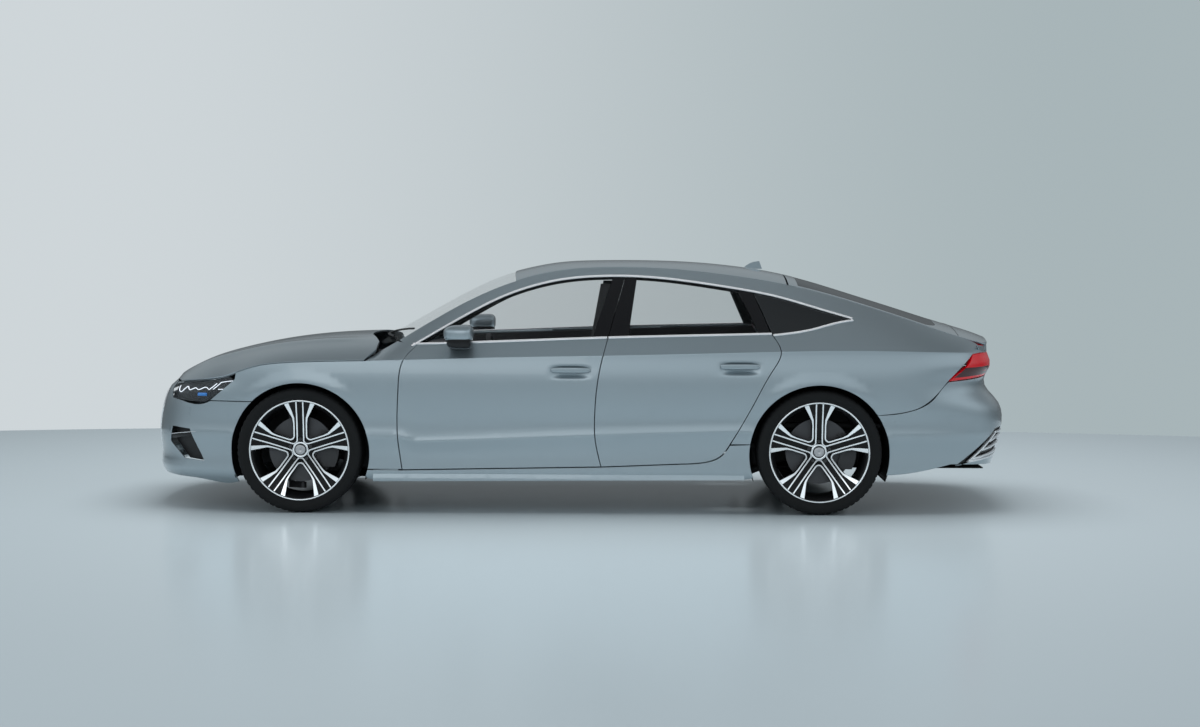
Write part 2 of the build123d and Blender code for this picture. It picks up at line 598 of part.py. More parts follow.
# Wheel arch liners, four shells
liners = []
for x in (FRONT_AXLE, REAR_AXLE):
    shell = rod((x, 640 + SEAT, ARCH_HEIGHT), (x, 950, ARCH_HEIGHT), LINER_RADIUS + 6)
    shell -= rod((x, 600, ARCH_HEIGHT), (x, 960, ARCH_HEIGHT), LINER_RADIUS)
    liners.append(shell & box((x - 450, x + 450), (600, 950), (ARCH_HEIGHT - 40, 900)))
skin_seat = Location((0, -SEAT, 0)) * lower_in
liner_pair = Compound([s & skin_seat for s in liners])
save_pair("arch_liners", liner_pair)

# Cabin: dashboard with the steering column, seats
dash = side_prism([[(1034, 880), (760, 900), (640, 830)], [(640, 830), (660, 700), (800, 600)], [(800, 600), (1034, 640)]],
                  715, -715)
COLUMN_FROM = (700, 370, 740)
WHEEL_PLACE = (480, 370, 812)
column_dir = (Vector(WHEEL_PLACE) - Vector(COLUMN_FROM)).normalized()
dash += rod(COLUMN_FROM, tuple(Vector(WHEEL_PLACE) - column_dir * 34), 32)
dash += rod(COLUMN_FROM, WHEEL_PLACE, 12)
dash += box((1000, 1066 - SEAT), (-600, 600), (660, 800))
save("dashboard", dash)

wheel_plane = Plane(origin=WHEEL_PLACE, x_dir=(0, 1, 0), z_dir=column_dir)
steering_wheel = Torus(176, 15) + Cylinder(52, 40) + Box(330, 34, 14) + Location((0, -88, 0)) * Box(34, 160, 14)
steering_wheel -= Cylinder(12 + PIN_CLEARANCE, 60) & Location((0, 0, -12)) * Box(60, 60, 40)
steering_wheel -= Location((0, 0, -27)) * Cylinder(40, 12)
save("steering_wheel", wheel_plane.location * steering_wheel)


def seat(x, y, width, back_lean, top):
    """Seat of a cushion, a leaning back and a head rest."""
    cushion = Location((x, y, 400)) * Box(520, width, 150)
    cushion = fillet(cushion.edges().filter_by(Axis.Y), 40)
    back = Location((x - 250, y, 420), (0, -back_lean, 0)) * Location((-20, 0, top / 2)) * Box(120, width, top)
    back = fillet(back.edges().filter_by(Axis.Y), 40)
    head = Location((x - 250, y, 420), (0, -back_lean, 0)) * Location((-10, 0, top + 70)) * Box(90, 260, 150)
    return cushion + back + fillet(head.edges().filter_by(Axis.Y), 30)


front_seat = seat(250, 370, 500, 22, 560)
front_seat += box((60, 440), (200, 540), (220 + SEAT, 340))
save_pair("front_seats", front_seat)
rear_seat = Location((-760, 0, 400)) * Box(480, 1240, 130)
rear_seat = fillet(rear_seat.edges().filter_by(Axis.Y), 40)
rear_seat += Location((-960, 0, 440), (0, -28, 0)) * Location((-20, 0, 240)) * Box(110, 1240, 480)
floor_top = [(x, z + 24 + 2 * SEAT) for x, z in FLOOR[3:]]
rear_seat -= side_prism(polygon((-500, 100), (-500, floor_top[0][1]), *floor_top, (-2220, 100)), 700, -700)
save("rear_seat", rear_seat)

# Engine as one block, standing on the subframe
SUBFRAME_TOP = 240
save("engine_block", fillet(box((1230, 1900), (-290, 290), (SUBFRAME_TOP + SEAT, 800)).edges().filter_by(Axis.X), 60))


def upright(axle, track, kingpin):
    """Hub carrier with its spindle and brake caliper, left side."""
    face = track / 2 + HUB_FACE
    carrier = rod((axle, face - 150, TYRE_RADIUS), (axle, face - 84, TYRE_RADIUS), 66)
    carrier += rod((axle, face - 100, TYRE_RADIUS), (axle, face - 6, TYRE_RADIUS), SPINDLE_RADIUS)
    if kingpin:
        carrier += box((axle, axle + 84), (736, 772), (TYRE_RADIUS - 60, TYRE_RADIUS + 60))
        carrier += box((axle + 56, axle + 84), (736, 772),
                       (TYRE_RADIUS - BALL_JOINT_RISE - 16, TYRE_RADIUS + BALL_JOINT_RISE + 16))
        for rise in (-BALL_JOINT_RISE, BALL_JOINT_RISE):
            low = TYRE_RADIUS + rise - 16
            high = TYRE_RADIUS + rise + 16
            carrier += rod((axle, KINGPIN_Y, low), (axle, KINGPIN_Y, high), 20)
            carrier += plan_prism(polygon((axle + 84, 736), (axle + 84, 772), (axle, KINGPIN_Y + 16), (axle - 14, KINGPIN_Y - 14),
                                          (axle + 56, 736)), low, high)
    caliper = rod((axle, face - 92, TYRE_RADIUS), (axle, face + 2, TYRE_RADIUS), DISC_RADIUS + 28)
    caliper -= rod((axle, face - 95, TYRE_RADIUS), (axle, face + 10, TYRE_RADIUS), DISC_RADIUS - 62)
    caliper -= rod((axle, face - 55, TYRE_RADIUS), (axle, face - 11, TYRE_RADIUS), DISC_RADIUS + 6)
    caliper &= box((axle - 300, axle - 110), (500, 1000), (TYRE_RADIUS - 100, TYRE_RADIUS + 100))
    arm = box((axle - 170, axle - 40), (face - 112, face - 80), (TYRE_RADIUS - 40, TYRE_RADIUS + 40))
    return carrier + caliper + arm


left_knuckle = upright(FRONT_AXLE, TRACK_FRONT, True)
left_knuckle -= rod((FRONT_AXLE, KINGPIN_Y, 0), (FRONT_AXLE, KINGPIN_Y, 2 * TYRE_RADIUS),
                    KINGPIN_RADIUS + PIN_CLEARANCE)
save("front_knuckle_left", left_knuckle)
save("front_knuckle_right", mirrored(left_knuckle))

# Front subframe with lower and upper arms, whose pins carry the knuckles
subframe = box((1420, 1700), (-380, 380), (180, SUBFRAME_TOP))
for side in (1, -1):
    y = side * KINGPIN_Y
    for rise in (-BALL_JOINT_RISE, BALL_JOINT_RISE):
        inward = -1 if rise > 0 else 1
        near = TYRE_RADIUS + rise + inward * 22
        far = near + inward * 16
        arm = plan_prism(polygon((1500, side * 330), (1565, side * 330), (FRONT_AXLE + 14, y + side * 12),
                                 (FRONT_AXLE - 14, y + side * 12)), near, far)
        subframe += arm
        subframe += rod((FRONT_AXLE, y, far), (FRONT_AXLE, y, TYRE_RADIUS + rise - inward * 12), KINGPIN_RADIUS)
    subframe += box((TOWER_REAR, 1630), (min(side * 310, side * 380), max(side * 310, side * 380)), (200, 545))
save("front_subframe", subframe)

# Rear axle: cross beam, arms and uprights
rear_axle = box((-1480, -1240), (-720, 720), (250, 340))
left_upright = upright(REAR_AXLE, TRACK_REAR, False)
rear_axle += left_upright
rear_axle += mirrored(left_upright)
for side in (1, -1):
    rear_axle += box((-1420, -1300), (min(side * 500, side * 560), max(side * 500, side * 560)), (335, 470 - SEAT))
save("rear_axle", rear_axle)


def revolved(points, axle, track):
    """Turned piece on a wheel's axis, from (distance out from the wheel's middle, radius) points."""
    face = Face(Wire(Polyline(*[(axle, track / 2 + out, TYRE_RADIUS + r) for out, r in points], close=True)))
    return revolve(face, Axis((axle, 0, TYRE_RADIUS), (0, 1, 0)))


def tyre(axle, track):
    """Tyre with rounded shoulders, seated on the rim."""
    half = TYRE_WIDTH / 2
    bead = RIM_SEAT_RADIUS + SEAT
    section = [(-104, bead), (-104, 287), (-114, 294), (-half, 318), (-half + 6, 338), (-half + 22, TYRE_RADIUS - 3),
               (-70, TYRE_RADIUS), (70, TYRE_RADIUS), (half - 22, TYRE_RADIUS - 3), (half - 6, 338), (half, 318),
               (114, 294), (104, 287), (104, bead)]
    return revolved(section, axle, track)


def drilled(wheel, axle, track):
    """The piece with its five bolt holes, between the spokes."""
    for turn in range(5):
        angle = np.radians(72 * turn + 36)
        x = axle + BOLT_CIRCLE * np.sin(angle)
        z = TYRE_RADIUS + BOLT_CIRCLE * np.cos(angle)
        wheel -= rod((x, track / 2, z), (x, track / 2 + 120, z), BOLT_HOLE)
    return wheel


def spoke_faces():
    """Front-view pieces of one forked spoke that points straight up: twin ribs and two splayed arms."""
    faces = [Face(Wire(Polyline((-34, 50), (34, 50), (27, 261), (-27, 261), close=True)))]
    for side in (1, -1):
        arm = [(24, 60), (46, 60), (46, 160), (98, 243), (76, 250), (26, 172)]
        faces.append(Face(Wire(Polyline(*[(side * x, y) for x, y in arm], close=True))))
    return faces


def rim(axle, track):
    """Five-spoke alloy wheel: barrel, hub and forked spokes."""
    barrel = [(-RIM_HALF_WIDTH, 262), (-RIM_HALF_WIDTH, RIM_RADIUS), (-108, RIM_RADIUS), (-105, RIM_SEAT_RADIUS),
              (105, RIM_SEAT_RADIUS), (108, RIM_RADIUS), (RIM_HALF_WIDTH, RIM_RADIUS), (RIM_HALF_WIDTH, 266),
              (90, 256), (-100, 256)]
    wheel = revolved(barrel, axle, track)
    hub = [(HUB_FACE, 0), (HUB_FACE, 80), (HUB_FACE + 44, 74), (HUB_FACE + 44, 0)]
    wheel += revolved(hub, axle, track)
    plane = Plane(origin=(axle, track / 2 + 70, TYRE_RADIUS), x_dir=(-1, 0, 0), z_dir=(0, 1, 0))
    for turn in range(5):
        for face in spoke_faces():
            spoke = Solid.extrude(Rot(0, 0, 72 * turn) * face, (0, 0, 34))
            wheel += plane.location * spoke
    return drilled(wheel, axle, track)


def brake_disc(axle, track):
    """Disc and hub that turn on the spindle."""
    bore = SPINDLE_RADIUS + PIN_CLEARANCE
    face = HUB_FACE - SEAT
    section = [(face - 76, bore), (face - 76, 44), (face - 12, 44), (face - 12, 84), (face - 46, 84),
               (face - 46, DISC_RADIUS), (face - 20, DISC_RADIUS), (face - 20, 90), (face, 90), (face, bore)]
    return drilled(revolved(section, axle, track), axle, track)


rear_place = Location((REAR_AXLE - FRONT_AXLE, (TRACK_REAR - TRACK_FRONT) / 2, 0))
for name, make in (("tyre", tyre), ("rim", rim), ("brake_disc", brake_disc)):
    front_left = make(FRONT_AXLE, TRACK_FRONT)
    for end, left in (("front", front_left), ("rear", rear_place * front_left)):
        save(f"{name}_{end}_left", left)
        save(f"{name}_{end}_right", mirrored(left))

# Door mirrors and the roof aerial
body_skin = Location((0, SEAT, SEAT)) * (side_block & box((500, 800), (700, 1000), (800, 1100)))
head = Location((655, 990, 1005)) * Box(120, 190, 140)
head = fillet(head.edges(), 32)
stalk = Solid.make_loft([Wire(Polyline((x - 45, y, z), (x + 45, y, z), (x + 45, y, z + 28), (x - 45, y, z + 28), close=True))
                         for x, y, z in ((690, 880, 915), (668, 960, 945))])
door_mirror = (head + stalk) - body_skin
save("mirror_left", door_mirror)
save("mirror_right", mirrored(door_mirror))

fin_base = float(top_z(-1010)) - 4
fin = side_prism([[(-969, fin_base), (-1015, fin_base + 34), (-1068, fin_base + 46)], [(-1068, fin_base + 46), (-1085, fin_base)]],
                 14, -14)
save("aerial_fin", fin - Location((0, 0, SEAT)) * (upper & box((-1150, -900), (-40, 40), (1200, 1500))))
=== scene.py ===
"""Looks of a four-door fastback coupe: body skins, glass, wheels, lamps, trim and cabin.

Lengths are written in millimetres and turned into metres when a mesh is made.
+X is the nose, +Y the left side, +Z up.
"""

import json
import math

import bpy
import numpy as np
from mathutils import Matrix, Vector
from mathutils.geometry import delaunay_2d_cdt


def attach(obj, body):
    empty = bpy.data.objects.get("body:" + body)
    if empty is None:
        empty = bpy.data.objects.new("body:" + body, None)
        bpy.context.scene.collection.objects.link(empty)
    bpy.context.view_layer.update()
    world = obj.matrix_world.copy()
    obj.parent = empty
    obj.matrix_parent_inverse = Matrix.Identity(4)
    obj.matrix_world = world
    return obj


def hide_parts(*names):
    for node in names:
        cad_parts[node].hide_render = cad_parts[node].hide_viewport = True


MM = 0.001
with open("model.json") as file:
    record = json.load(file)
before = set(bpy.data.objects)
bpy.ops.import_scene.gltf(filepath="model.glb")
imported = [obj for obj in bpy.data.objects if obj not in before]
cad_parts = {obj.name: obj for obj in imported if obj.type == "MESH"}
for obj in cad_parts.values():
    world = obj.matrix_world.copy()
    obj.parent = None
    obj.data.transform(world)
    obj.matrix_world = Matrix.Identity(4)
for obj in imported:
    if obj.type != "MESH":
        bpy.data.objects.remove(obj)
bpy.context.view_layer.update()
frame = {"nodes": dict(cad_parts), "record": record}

# Sizes of the car
LENGTH = 4969
HALF_WIDTH = 954
FRONT_AXLE = LENGTH / 2 - 920
REAR_AXLE = FRONT_AXLE - 2926
TRACK = {"front": 1651, "rear": 1637}
TYRE_RADIUS = 352
ARCH_RADIUS = 394
ARCH_HEIGHT = 338
GAP = 4
SIDES = (("left", 1), ("right", -1))
ENDS = (("front", FRONT_AXLE), ("rear", REAR_AXLE))
BODY_MIDDLE = (0, 0, 600)
OUTWARD_SHARE = (0.4, 1, 1)

# Lines of the side view, as (place along the car, height)
CREASE = [(-2400, 905), (-2185, 911), (-1632, 925), (-1140, 918), (-575, 902), (-127, 891), (547, 877),
          (1000, 865), (1513, 855), (1654, 848), (1807, 828), (1914, 795), (2000, 766), (2100, 748), (2291, 724)]
BELT = [(-1100, 1012), (-913, 1007), (-125, 986), (439, 964), (868, 948), (990, 944)]
QUARTER_BELT = [(-1100, 1012), (-1193, 1022), (-1333, 1046), (-1472, 1081), (-1560, 1094)]
WINDOW_TOP = [(-1560, 1096), (-1348, 1157), (-1150, 1214), (-855, 1270), (-613, 1305), (-373, 1328),
              (-132, 1331), (108, 1309), (285, 1267), (415, 1221), (573, 1145), (744, 1049), (942, 933)]
RAIL_EDGE = [(-2400, 925), (-2312, 956), (-2162, 1000), (-1998, 1054), (-1596, 1184), (-1255, 1275),
             (-856, 1342), (-534, 1376), (-212, 1386), (111, 1365), (364, 1305), (559, 1228), (716, 1148),
             (874, 1056), (1029, 963), (1250, 835)]
TOP_CENTRE = [(-2400, 976), (-2332, 1002), (-2188, 1046), (-1899, 1136), (-1610, 1226), (-1320, 1313),
              (-1176, 1348), (-959, 1384), (-671, 1412), (-380, 1422), (-100, 1421), (124, 1409), (268, 1385),
              (485, 1324), (774, 1184), (992, 1062), (1250, 912)]
HOOD_CENTRE = [(1000, 996), (1216, 989), (1427, 980), (1718, 951), (2009, 895), (2155, 852), (2301, 785),
               (2374, 742), (2447, 688)]
FRONT_DOOR_LEAD = [(984, 246), (1009, 450), (1009, 600), (1004, 700), (972, 871), (905, 945)]
CENTRE_SHUT = [(-134, 268), (-101, 420), (-98, 560), (-104, 660), (-132, 844), (-169, 986)]
REAR_DOOR_TRAIL = [(-578, 286), (-720, 297), (-802, 328), (-855, 394), (-989, 626), (-1093, 814), (-1140, 915),
                   (-1092, 1012)]

# Crease low on the doors: height of the fold in the flank profile, and its line in the side view
FLANK_CREASE = 436
LOWER_CREASE_START = (984, 397)
LOWER_CREASE_RISE = 0.0445

# Relief of the skins: flare over the wheel arches, rounding of the shoulder, ridges of the hood, scoops at the handles
ARCH_FLARE = 9
SHOULDER_ROUND = 5.0
HOOD_RIDGE = 9
SCOOP_DEPTH = 17

# Half-widths in plan, as (place along the car, half-width)
RAIL_HALF = [(-2400, 540), (-2330, 590), (-2260, 622), (-2162, 640), (-1998, 640), (-1596, 604), (-1149, 572),
             (-534, 568), (-212, 571), (111, 582), (364, 612), (559, 652), (716, 690), (874, 720), (1029, 748),
             (1250, 790)]
PLAN = [(2484.5, 0), (2481, 150), (2470, 300), (2445, 450), (2400, 590), (2330, 700), (2220, 795), (2050, 868),
        (1850, 920), (1564, 950), (1000, 953), (0, 954), (-700, 954), (-1361, 954), (-1700, 940), (-1950, 912),
        (-2150, 858), (-2290, 788), (-2375, 700), (-2430, 580), (-2465, 400), (-2480, 200), (-2484.5, 0)]
FLANK = [(150, 890), (195, 918), (262, 929), (320, 929), (380, 937), (422, 947), (436, 949.5), (452, 947.5), (500, 942),
         (580, 947), (680, 954), (790, 951), (891, 937), (1020, 930)]
NOSE = [(150, 2440), (185, 2464), (220, 2482), (290, 2480), (360, 2484.5), (500, 2482), (576, 2468), (648, 2444),
        (690, 2418), (721, 2382), (800, 2340), (1020, 2300)]
TAIL = [(150, -2380), (300, -2440), (409, -2468), (551, -2484.5), (622, -2454), (692, -2392), (727, -2378),
        (763, -2382), (834, -2414), (904, -2394), (975, -2391), (1020, -2380)]


def curve(points):
    """Natural cubic spline through (place, value) points, held level beyond its ends."""
    x, y = np.array(sorted(map(tuple, points)), float).T
    count = len(x)
    step = np.diff(x)
    matrix = np.eye(count)
    right = np.zeros(count)
    for i in range(1, count - 1):
        matrix[i, i - 1:i + 2] = step[i - 1], 2 * (step[i - 1] + step[i]), step[i]
        right[i] = 6 * ((y[i + 1] - y[i]) / step[i] - (y[i] - y[i - 1]) / step[i - 1])
    bend = np.linalg.solve(matrix, right)

    def value(place):
        """The spline's height at a place."""
        q = np.clip(np.asarray(place, float), x[0], x[-1])
        i = np.clip(np.searchsorted(x, q) - 1, 0, count - 2)
        a, b, h = x[i + 1] - q, q - x[i], step[i]
        cubic = (bend[i] * a**3 + bend[i + 1] * b**3) / (6 * h)
        return cubic + (y[i] / h - bend[i] * h / 6) * a + (y[i + 1] / h - bend[i + 1] * h / 6) * b

    return value


crease_z = curve(CREASE)
belt_z = curve(BELT)
rail_z = curve(RAIL_EDGE)
top_z = curve(TOP_CENTRE)
hood_z = curve(HOOD_CENTRE)
rail_y = curve(RAIL_HALF)
flank_y = curve(FLANK)
nose_x = curve(NOSE)
tail_x = curve(TAIL)

_plan = np.array([(x, -y) for x, y in PLAN[2:0:-1]] + PLAN + [(x, -y) for x, y in PLAN[-2:-4:-1]], float)
_chord = np.r_[0, np.cumsum(np.hypot(*np.diff(_plan, axis=0).T))]
_chord -= _chord[2]
PLAN_LENGTH = _chord[-3]
plan_x = curve(np.c_[_chord, _plan[:, 0]])
plan_y = curve(np.c_[_chord, _plan[:, 1]])


def ease(value):
    """Cubic step from 0 to 1."""
    u = np.clip(value, 0, 1)
    return u * u * (3 - 2 * u)


def hull(t, z):
    """Lower body: the plan curve at distance t from the nose's middle (negative on the right side),
    moved along the car by the nose and tail profiles and widened by the flank profile at height z."""
    side = np.where(np.asarray(t) < 0, -1.0, 1.0)
    x, y = plan_x(np.abs(t)), plan_y(np.abs(t))
    x = x + (nose_x(z) - LENGTH / 2) * ease((x - 1700) / 700) + (tail_x(z) + LENGTH / 2) * ease((-1650 - x) / 730)
    return np.stack([x, side * y * flank_y(z) / HALF_WIDTH, z + 0 * x], -1)


def hull_place(x, z):
    """Distance t at which the lower body's left side reaches x at height z, by bisection."""
    x, z = np.broadcast_arrays(np.asarray(x, float), np.asarray(z, float))
    low, high = np.zeros(x.shape), np.full(x.shape, PLAN_LENGTH)
    for _ in range(36):
        middle = (low + high) / 2
        ahead = hull(middle, z)[..., 0] > x
        low, high = np.where(ahead, middle, low), np.where(ahead, high, middle)
    return (low + high) / 2


def flank(x, z):
    """Half-width of the lower body's side at x and height z."""
    return hull(hull_place(x, z), z)[..., 1]


_cx = np.linspace(-2360, 2280, 300)
crease_y = curve(np.c_[_cx, flank(_cx, crease_z(_cx))])


def lower_crease(x):
    """Height of the crease low on the doors: a straight line that rises towards the tail."""
    return LOWER_CREASE_START[1] + (LOWER_CREASE_START[0] - x) * LOWER_CREASE_RISE


def upper_half(x, z):
    """Half-width above the shoulder crease: a parabola from the crease to the roof rail, straight below it."""
    part = (z - crease_z(x)) / np.maximum(rail_z(x) - crease_z(x), 20)
    bow = np.where(part > 0, 0.75 * part + 0.25 * part * part, 0.75 * part)
    return crease_y(x) - (crease_y(x) - rail_y(x)) * bow


def side_skin(x, z):
    """Body side: the lesser of the lower flank, flared over the wheels, and the upper side, rounded where they cross.
    The flank profile is moved up or down so that its fold follows the crease low on the doors."""
    share = np.clip(1 - np.abs(z - FLANK_CREASE) / 190, 0, 1) * ease((1005 - x) / 110) * ease((x + 1050) / 120)
    low, up = flank(x, np.minimum(z + share * (FLANK_CREASE - lower_crease(x)), 1020)), upper_half(x, z)
    for axle in (FRONT_AXLE, REAR_AXLE):
        away = np.hypot(x - axle, z - ARCH_HEIGHT) - ARCH_RADIUS
        low = low + ARCH_FLARE * ease((80 - away) / 70) * ease((z - 600) / 110)
    y = 0.5 * (low + up - np.sqrt((low - up)**2 + SHOULDER_ROUND**2))
    y = y + SHOULDER_ROUND / 2 * np.exp(-np.abs(low - up) / SHOULDER_ROUND)
    return np.stack([x + 0 * y, y, z + 0 * y], -1)


def top_skin(x, y):
    """Windscreen, roof and tail: crowned across as 1 - |y / rail|^2.4 between the rail's height and the middle's."""
    share = 1 - np.abs(y / rail_y(x))**2.4
    return np.stack([x + 0 * y, y + 0 * x, rail_z(x) + (top_z(x) - rail_z(x)) * share], -1)


def hood_skin(x, y):
    """Hood: falls as |y / half-width|^3.4 from the middle's height to the crease, with a soft ridge on each side."""
    share = np.minimum(np.abs(y) / hood_half(x), 1)
    ridge = HOOD_RIDGE * np.exp(-((share - 0.60) / 0.07)**2) * ease((x - 1150) / 250) * ease((2380 - x) / 300)
    z = hood_z(x) - (hood_z(x) - crease_z(x)) * share**3.4 + ridge
    return np.stack([x + 0 * y, y + 0 * x, z], -1)


def smooth_run(points, step):
    """Points along a run: two points make a straight run, more make a spline over chord length."""
    p = np.array(points, float)
    chord = np.r_[0, np.cumsum(np.hypot(*np.diff(p, axis=0).T))]
    count = max(2, int(math.ceil(chord[-1] / step)) + 1)
    s = np.linspace(0, chord[-1], count)
    if len(p) == 2:
        return p[0] + (p[1] - p[0]) * (s / chord[-1])[:, None]
    return np.c_[curve(np.c_[chord, p[:, 0]])(s), curve(np.c_[chord, p[:, 1]])(s)]


def loop_of(runs, step=14):
    """Closed polygon from runs laid end to end, turned anticlockwise."""
    parts = [smooth_run(run, step)[:-1] for run in runs]
    end, start = np.array(runs[-1][-1], float), np.array(runs[0][0], float)
    if np.hypot(*(end - start)) > 0.01:
        parts.append(smooth_run([end, start], step)[:-1])
    ring = np.vstack(parts)
    keep = np.hypot(*(np.roll(ring, -1, 0) - ring).T) > 0.5
    ring = ring[keep]
    x, y = ring.T
    area = np.sum(x * np.roll(y, -1) - y * np.roll(x, -1))
    return ring if area > 0 else ring[::-1]


def polygon(*points):
    """Runs of straight sides through the points."""
    ring = list(points) + [points[0]]
    return [[a, b] for a, b in zip(ring, ring[1:])]


def arc(centre, radius, start, end, count=40):
    """Points on a circle between two angles in degrees."""
    a = np.radians(np.linspace(start, end, count))
    return [(centre[0] + radius * math.cos(v), centre[1] + radius * math.sin(v)) for v in a]


def inside(points, ring):
    """Even-odd test of points against a polygon, all at once."""
    x, y = points[:, :1], points[:, 1:]
    ax, ay = ring.T
    bx, by = np.roll(ring, -1, 0).T
    crosses = (ay > y) != (by > y)
    with np.errstate(divide="ignore", invalid="ignore"):
        at = ax + (y - ay) * (bx - ax) / (by - ay)
    return np.sum(crosses & (x < at), 1) % 2 == 1


def edge_distance(points, ring):
    """Distance of each point to the nearest side of a polygon."""
    a, b = ring, np.roll(ring, -1, 0)
    ab = b - a
    ap = points[:, None] - a[None]
    s = np.clip(np.sum(ap * ab, -1) / np.sum(ab * ab, -1), 0, 1)
    return np.sqrt(np.min(np.sum((ap - s[..., None] * ab)**2, -1), 1))


def put_mesh(name, verts, faces, normals, body, material, replaces="", mirror=False):
    """Mesh object from arrays in millimetres, with given vertex normals, riding on a body."""
    verts, normals = np.array(verts, float), np.array(normals, float).reshape(-1, 3)
    faces = [tuple(f) for f in faces]
    if mirror:
        verts, normals = verts * (1, -1, 1), normals * (1, -1, 1)
        faces = [f[::-1] for f in faces]
    mesh = bpy.data.meshes.new(name)
    mesh.from_pydata((verts * MM).tolist(), [], faces)
    mesh.update()
    mesh.polygons.foreach_set("use_smooth", np.ones(len(mesh.polygons), bool))
    if len(normals):
        mesh.normals_split_custom_set_from_vertices(normals.tolist())
    mesh.materials.append(material)
    obj = bpy.data.objects.new(name, mesh)
    bpy.context.scene.collection.objects.link(obj)
    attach(obj, body)
    if replaces:
        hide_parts(replaces)
    return obj


def other_side(name):
    """Right-hand name of a left-hand piece, body or node."""
    return name.replace("left", "right")


def put_pieces(name, arrays, body, material, replaces="", pair=False):
    """Piece from its arrays and, if it is one of a pair, its mirror image on the right side."""
    made = [put_mesh(name, *arrays, body, material, replaces)]
    if pair:
        made.append(put_mesh(other_side(name), *arrays, other_side(body), material, other_side(replaces), mirror=True))
    return made


def unit(v):
    """Vectors of length one."""
    return v / np.maximum(np.linalg.norm(v, axis=-1, keepdims=True), 1e-9)


def surface_normals(surface, u, v, e=0.5):
    """Unit normals of a surface, from its differences over a short step in each parameter."""
    du = surface(u + e, v) - surface(u - e, v)
    dv = surface(u, v + e) - surface(u, v - e)
    return unit(np.cross(du, dv))


def grid_points(low, high, spacing):
    """Points of a triangular grid over a rectangle."""
    rows = []
    for i, v in enumerate(np.arange(low[1], high[1], spacing * 0.866)):
        u = np.arange(low[0] + (i % 2) * spacing / 2, high[0], spacing)
        rows.append(np.c_[u, np.full(len(u), v)])
    return np.vstack(rows)


def within(points, loops):
    """Whether points lie inside the first loop and outside the others."""
    ok = inside(points, loops[0])
    for ring in loops[1:]:
        ok &= ~inside(points, ring)
    return ok


def filled(loops, spacing, features):
    """Outline filled with triangles: a grid, and the points of its features, joined to the loops. Gives the points,
    the triangles turned anticlockwise, and each loop's point numbers."""
    points = grid_points(loops[0].min(0), loops[0].max(0), spacing)
    if features:
        line = np.vstack(features)
        away = np.abs(points[:, None] - line[None, ::3])
        near = np.min(away[..., 0] + 3 * away[..., 1], 1)
        points = np.vstack([points[near > spacing * 0.8], line])
    points = points[within(points, loops)]
    for ring in loops:
        points = points[edge_distance(points, ring) > min(spacing * 0.45, 9)] if len(points) else points
    edges, starts, first = [], [], 0
    for ring in loops:
        count = len(ring)
        edges += [(first + i, first + (i + 1) % count) for i in range(count)]
        starts.append(first)
        first += count
    flat = np.vstack(loops + [points])
    out, _, tris, origin, _, _ = delaunay_2d_cdt([Vector(p) for p in flat], edges, [], 0, 1e-5)
    place = {old: i for i, olds in enumerate(origin) for old in olds}
    uv, tris = np.array([(v.x, v.y) for v in out]), np.array(tris)
    tris = tris[within(uv[tris].mean(1), loops)]
    corner = uv[tris]
    turn = np.cross(corner[:, 1] - corner[:, 0], corner[:, 2] - corner[:, 0])
    tris[turn < 0] = tris[turn < 0][:, ::-1]
    rims = [np.array([place[start + i] for i in range(len(ring))]) for start, ring in zip(starts, loops)]
    return uv, tris, rims


def panel_arrays(surface, runs, holes=(), spacing=32, thick=4.0, hem=2.5, features=(), lift=0.0, step=14,
                 inner=None, facing=None):
    """Panel cut from a surface: its outline is filled with triangles in the surface's own two parameters and
    carried onto the surface, its edge is rounded over, and an inner face set back by the thickness closes it."""
    loops = [loop_of(runs, step)] + [loop_of(h, step)[::-1] for h in holes]
    uv, tris, rims = filled(loops, spacing, features)
    base = surface(uv[:, 0], uv[:, 1])
    normal = surface_normals(surface, uv[:, 0], uv[:, 1])
    outward = np.sum(normal * ((base - BODY_MIDDLE) * OUTWARD_SHARE if facing is None else facing))
    flip = -1.0 if outward < 0 else 1.0
    normal = normal * flip
    base = base + normal * lift
    if flip < 0:
        tris = tris[:, ::-1]
    count = len(base)
    back = inner(base) if inner else base - normal * thick
    verts, norms, faces = [base.copy(), back], [normal, -normal], [tris, tris[:, ::-1] + count]
    total = 2 * count
    for ids in rims:
        p, n = base[ids], normal[ids]
        along = unit(np.roll(p, -1, 0) - np.roll(p, 1, 0))
        out_dir = unit(np.cross(along, n)) * flip
        verts[0][ids] = p - out_dir * hem
        mid = p - 0.3 * hem * (out_dir + n)
        side = p - n * hem
        k = len(ids)
        verts += [mid, side]
        norms += [unit(n + out_dir), out_dir]
        norms[1][ids] = unit(out_dir - n)
        nxt = np.roll(np.arange(k), -1)
        a, b, c, d = ids, total + np.arange(k), total + k + np.arange(k), count + ids
        for lo, hi in ((a, b), (b, c), (c, d)):
            quad = np.c_[lo, hi, hi[nxt], lo[nxt]]
            faces.append(quad if flip > 0 else quad[:, ::-1])
        total += 2 * k
    polys = [tuple(f) for block in faces for f in block.tolist()]
    return np.vstack(verts), polys, np.vstack(norms)


def panel(name, surface, runs, body, material, replaces="", pair=False, **options):
    """Panel piece, or a pair of them."""
    put_pieces(name, panel_arrays(surface, runs, **options), body, material, replaces, pair)


# Materials
class Wire:
    """A socket of a node tree whose operators add Math nodes."""

    def __init__(self, nodes, socket):
        self.nodes, self.socket = nodes, socket

    def __mul__(self, other):
        return self.nodes.node("ShaderNodeMath", {"operation": "MULTIPLY"}, {0: self, 1: other})

    __rmul__ = __mul__


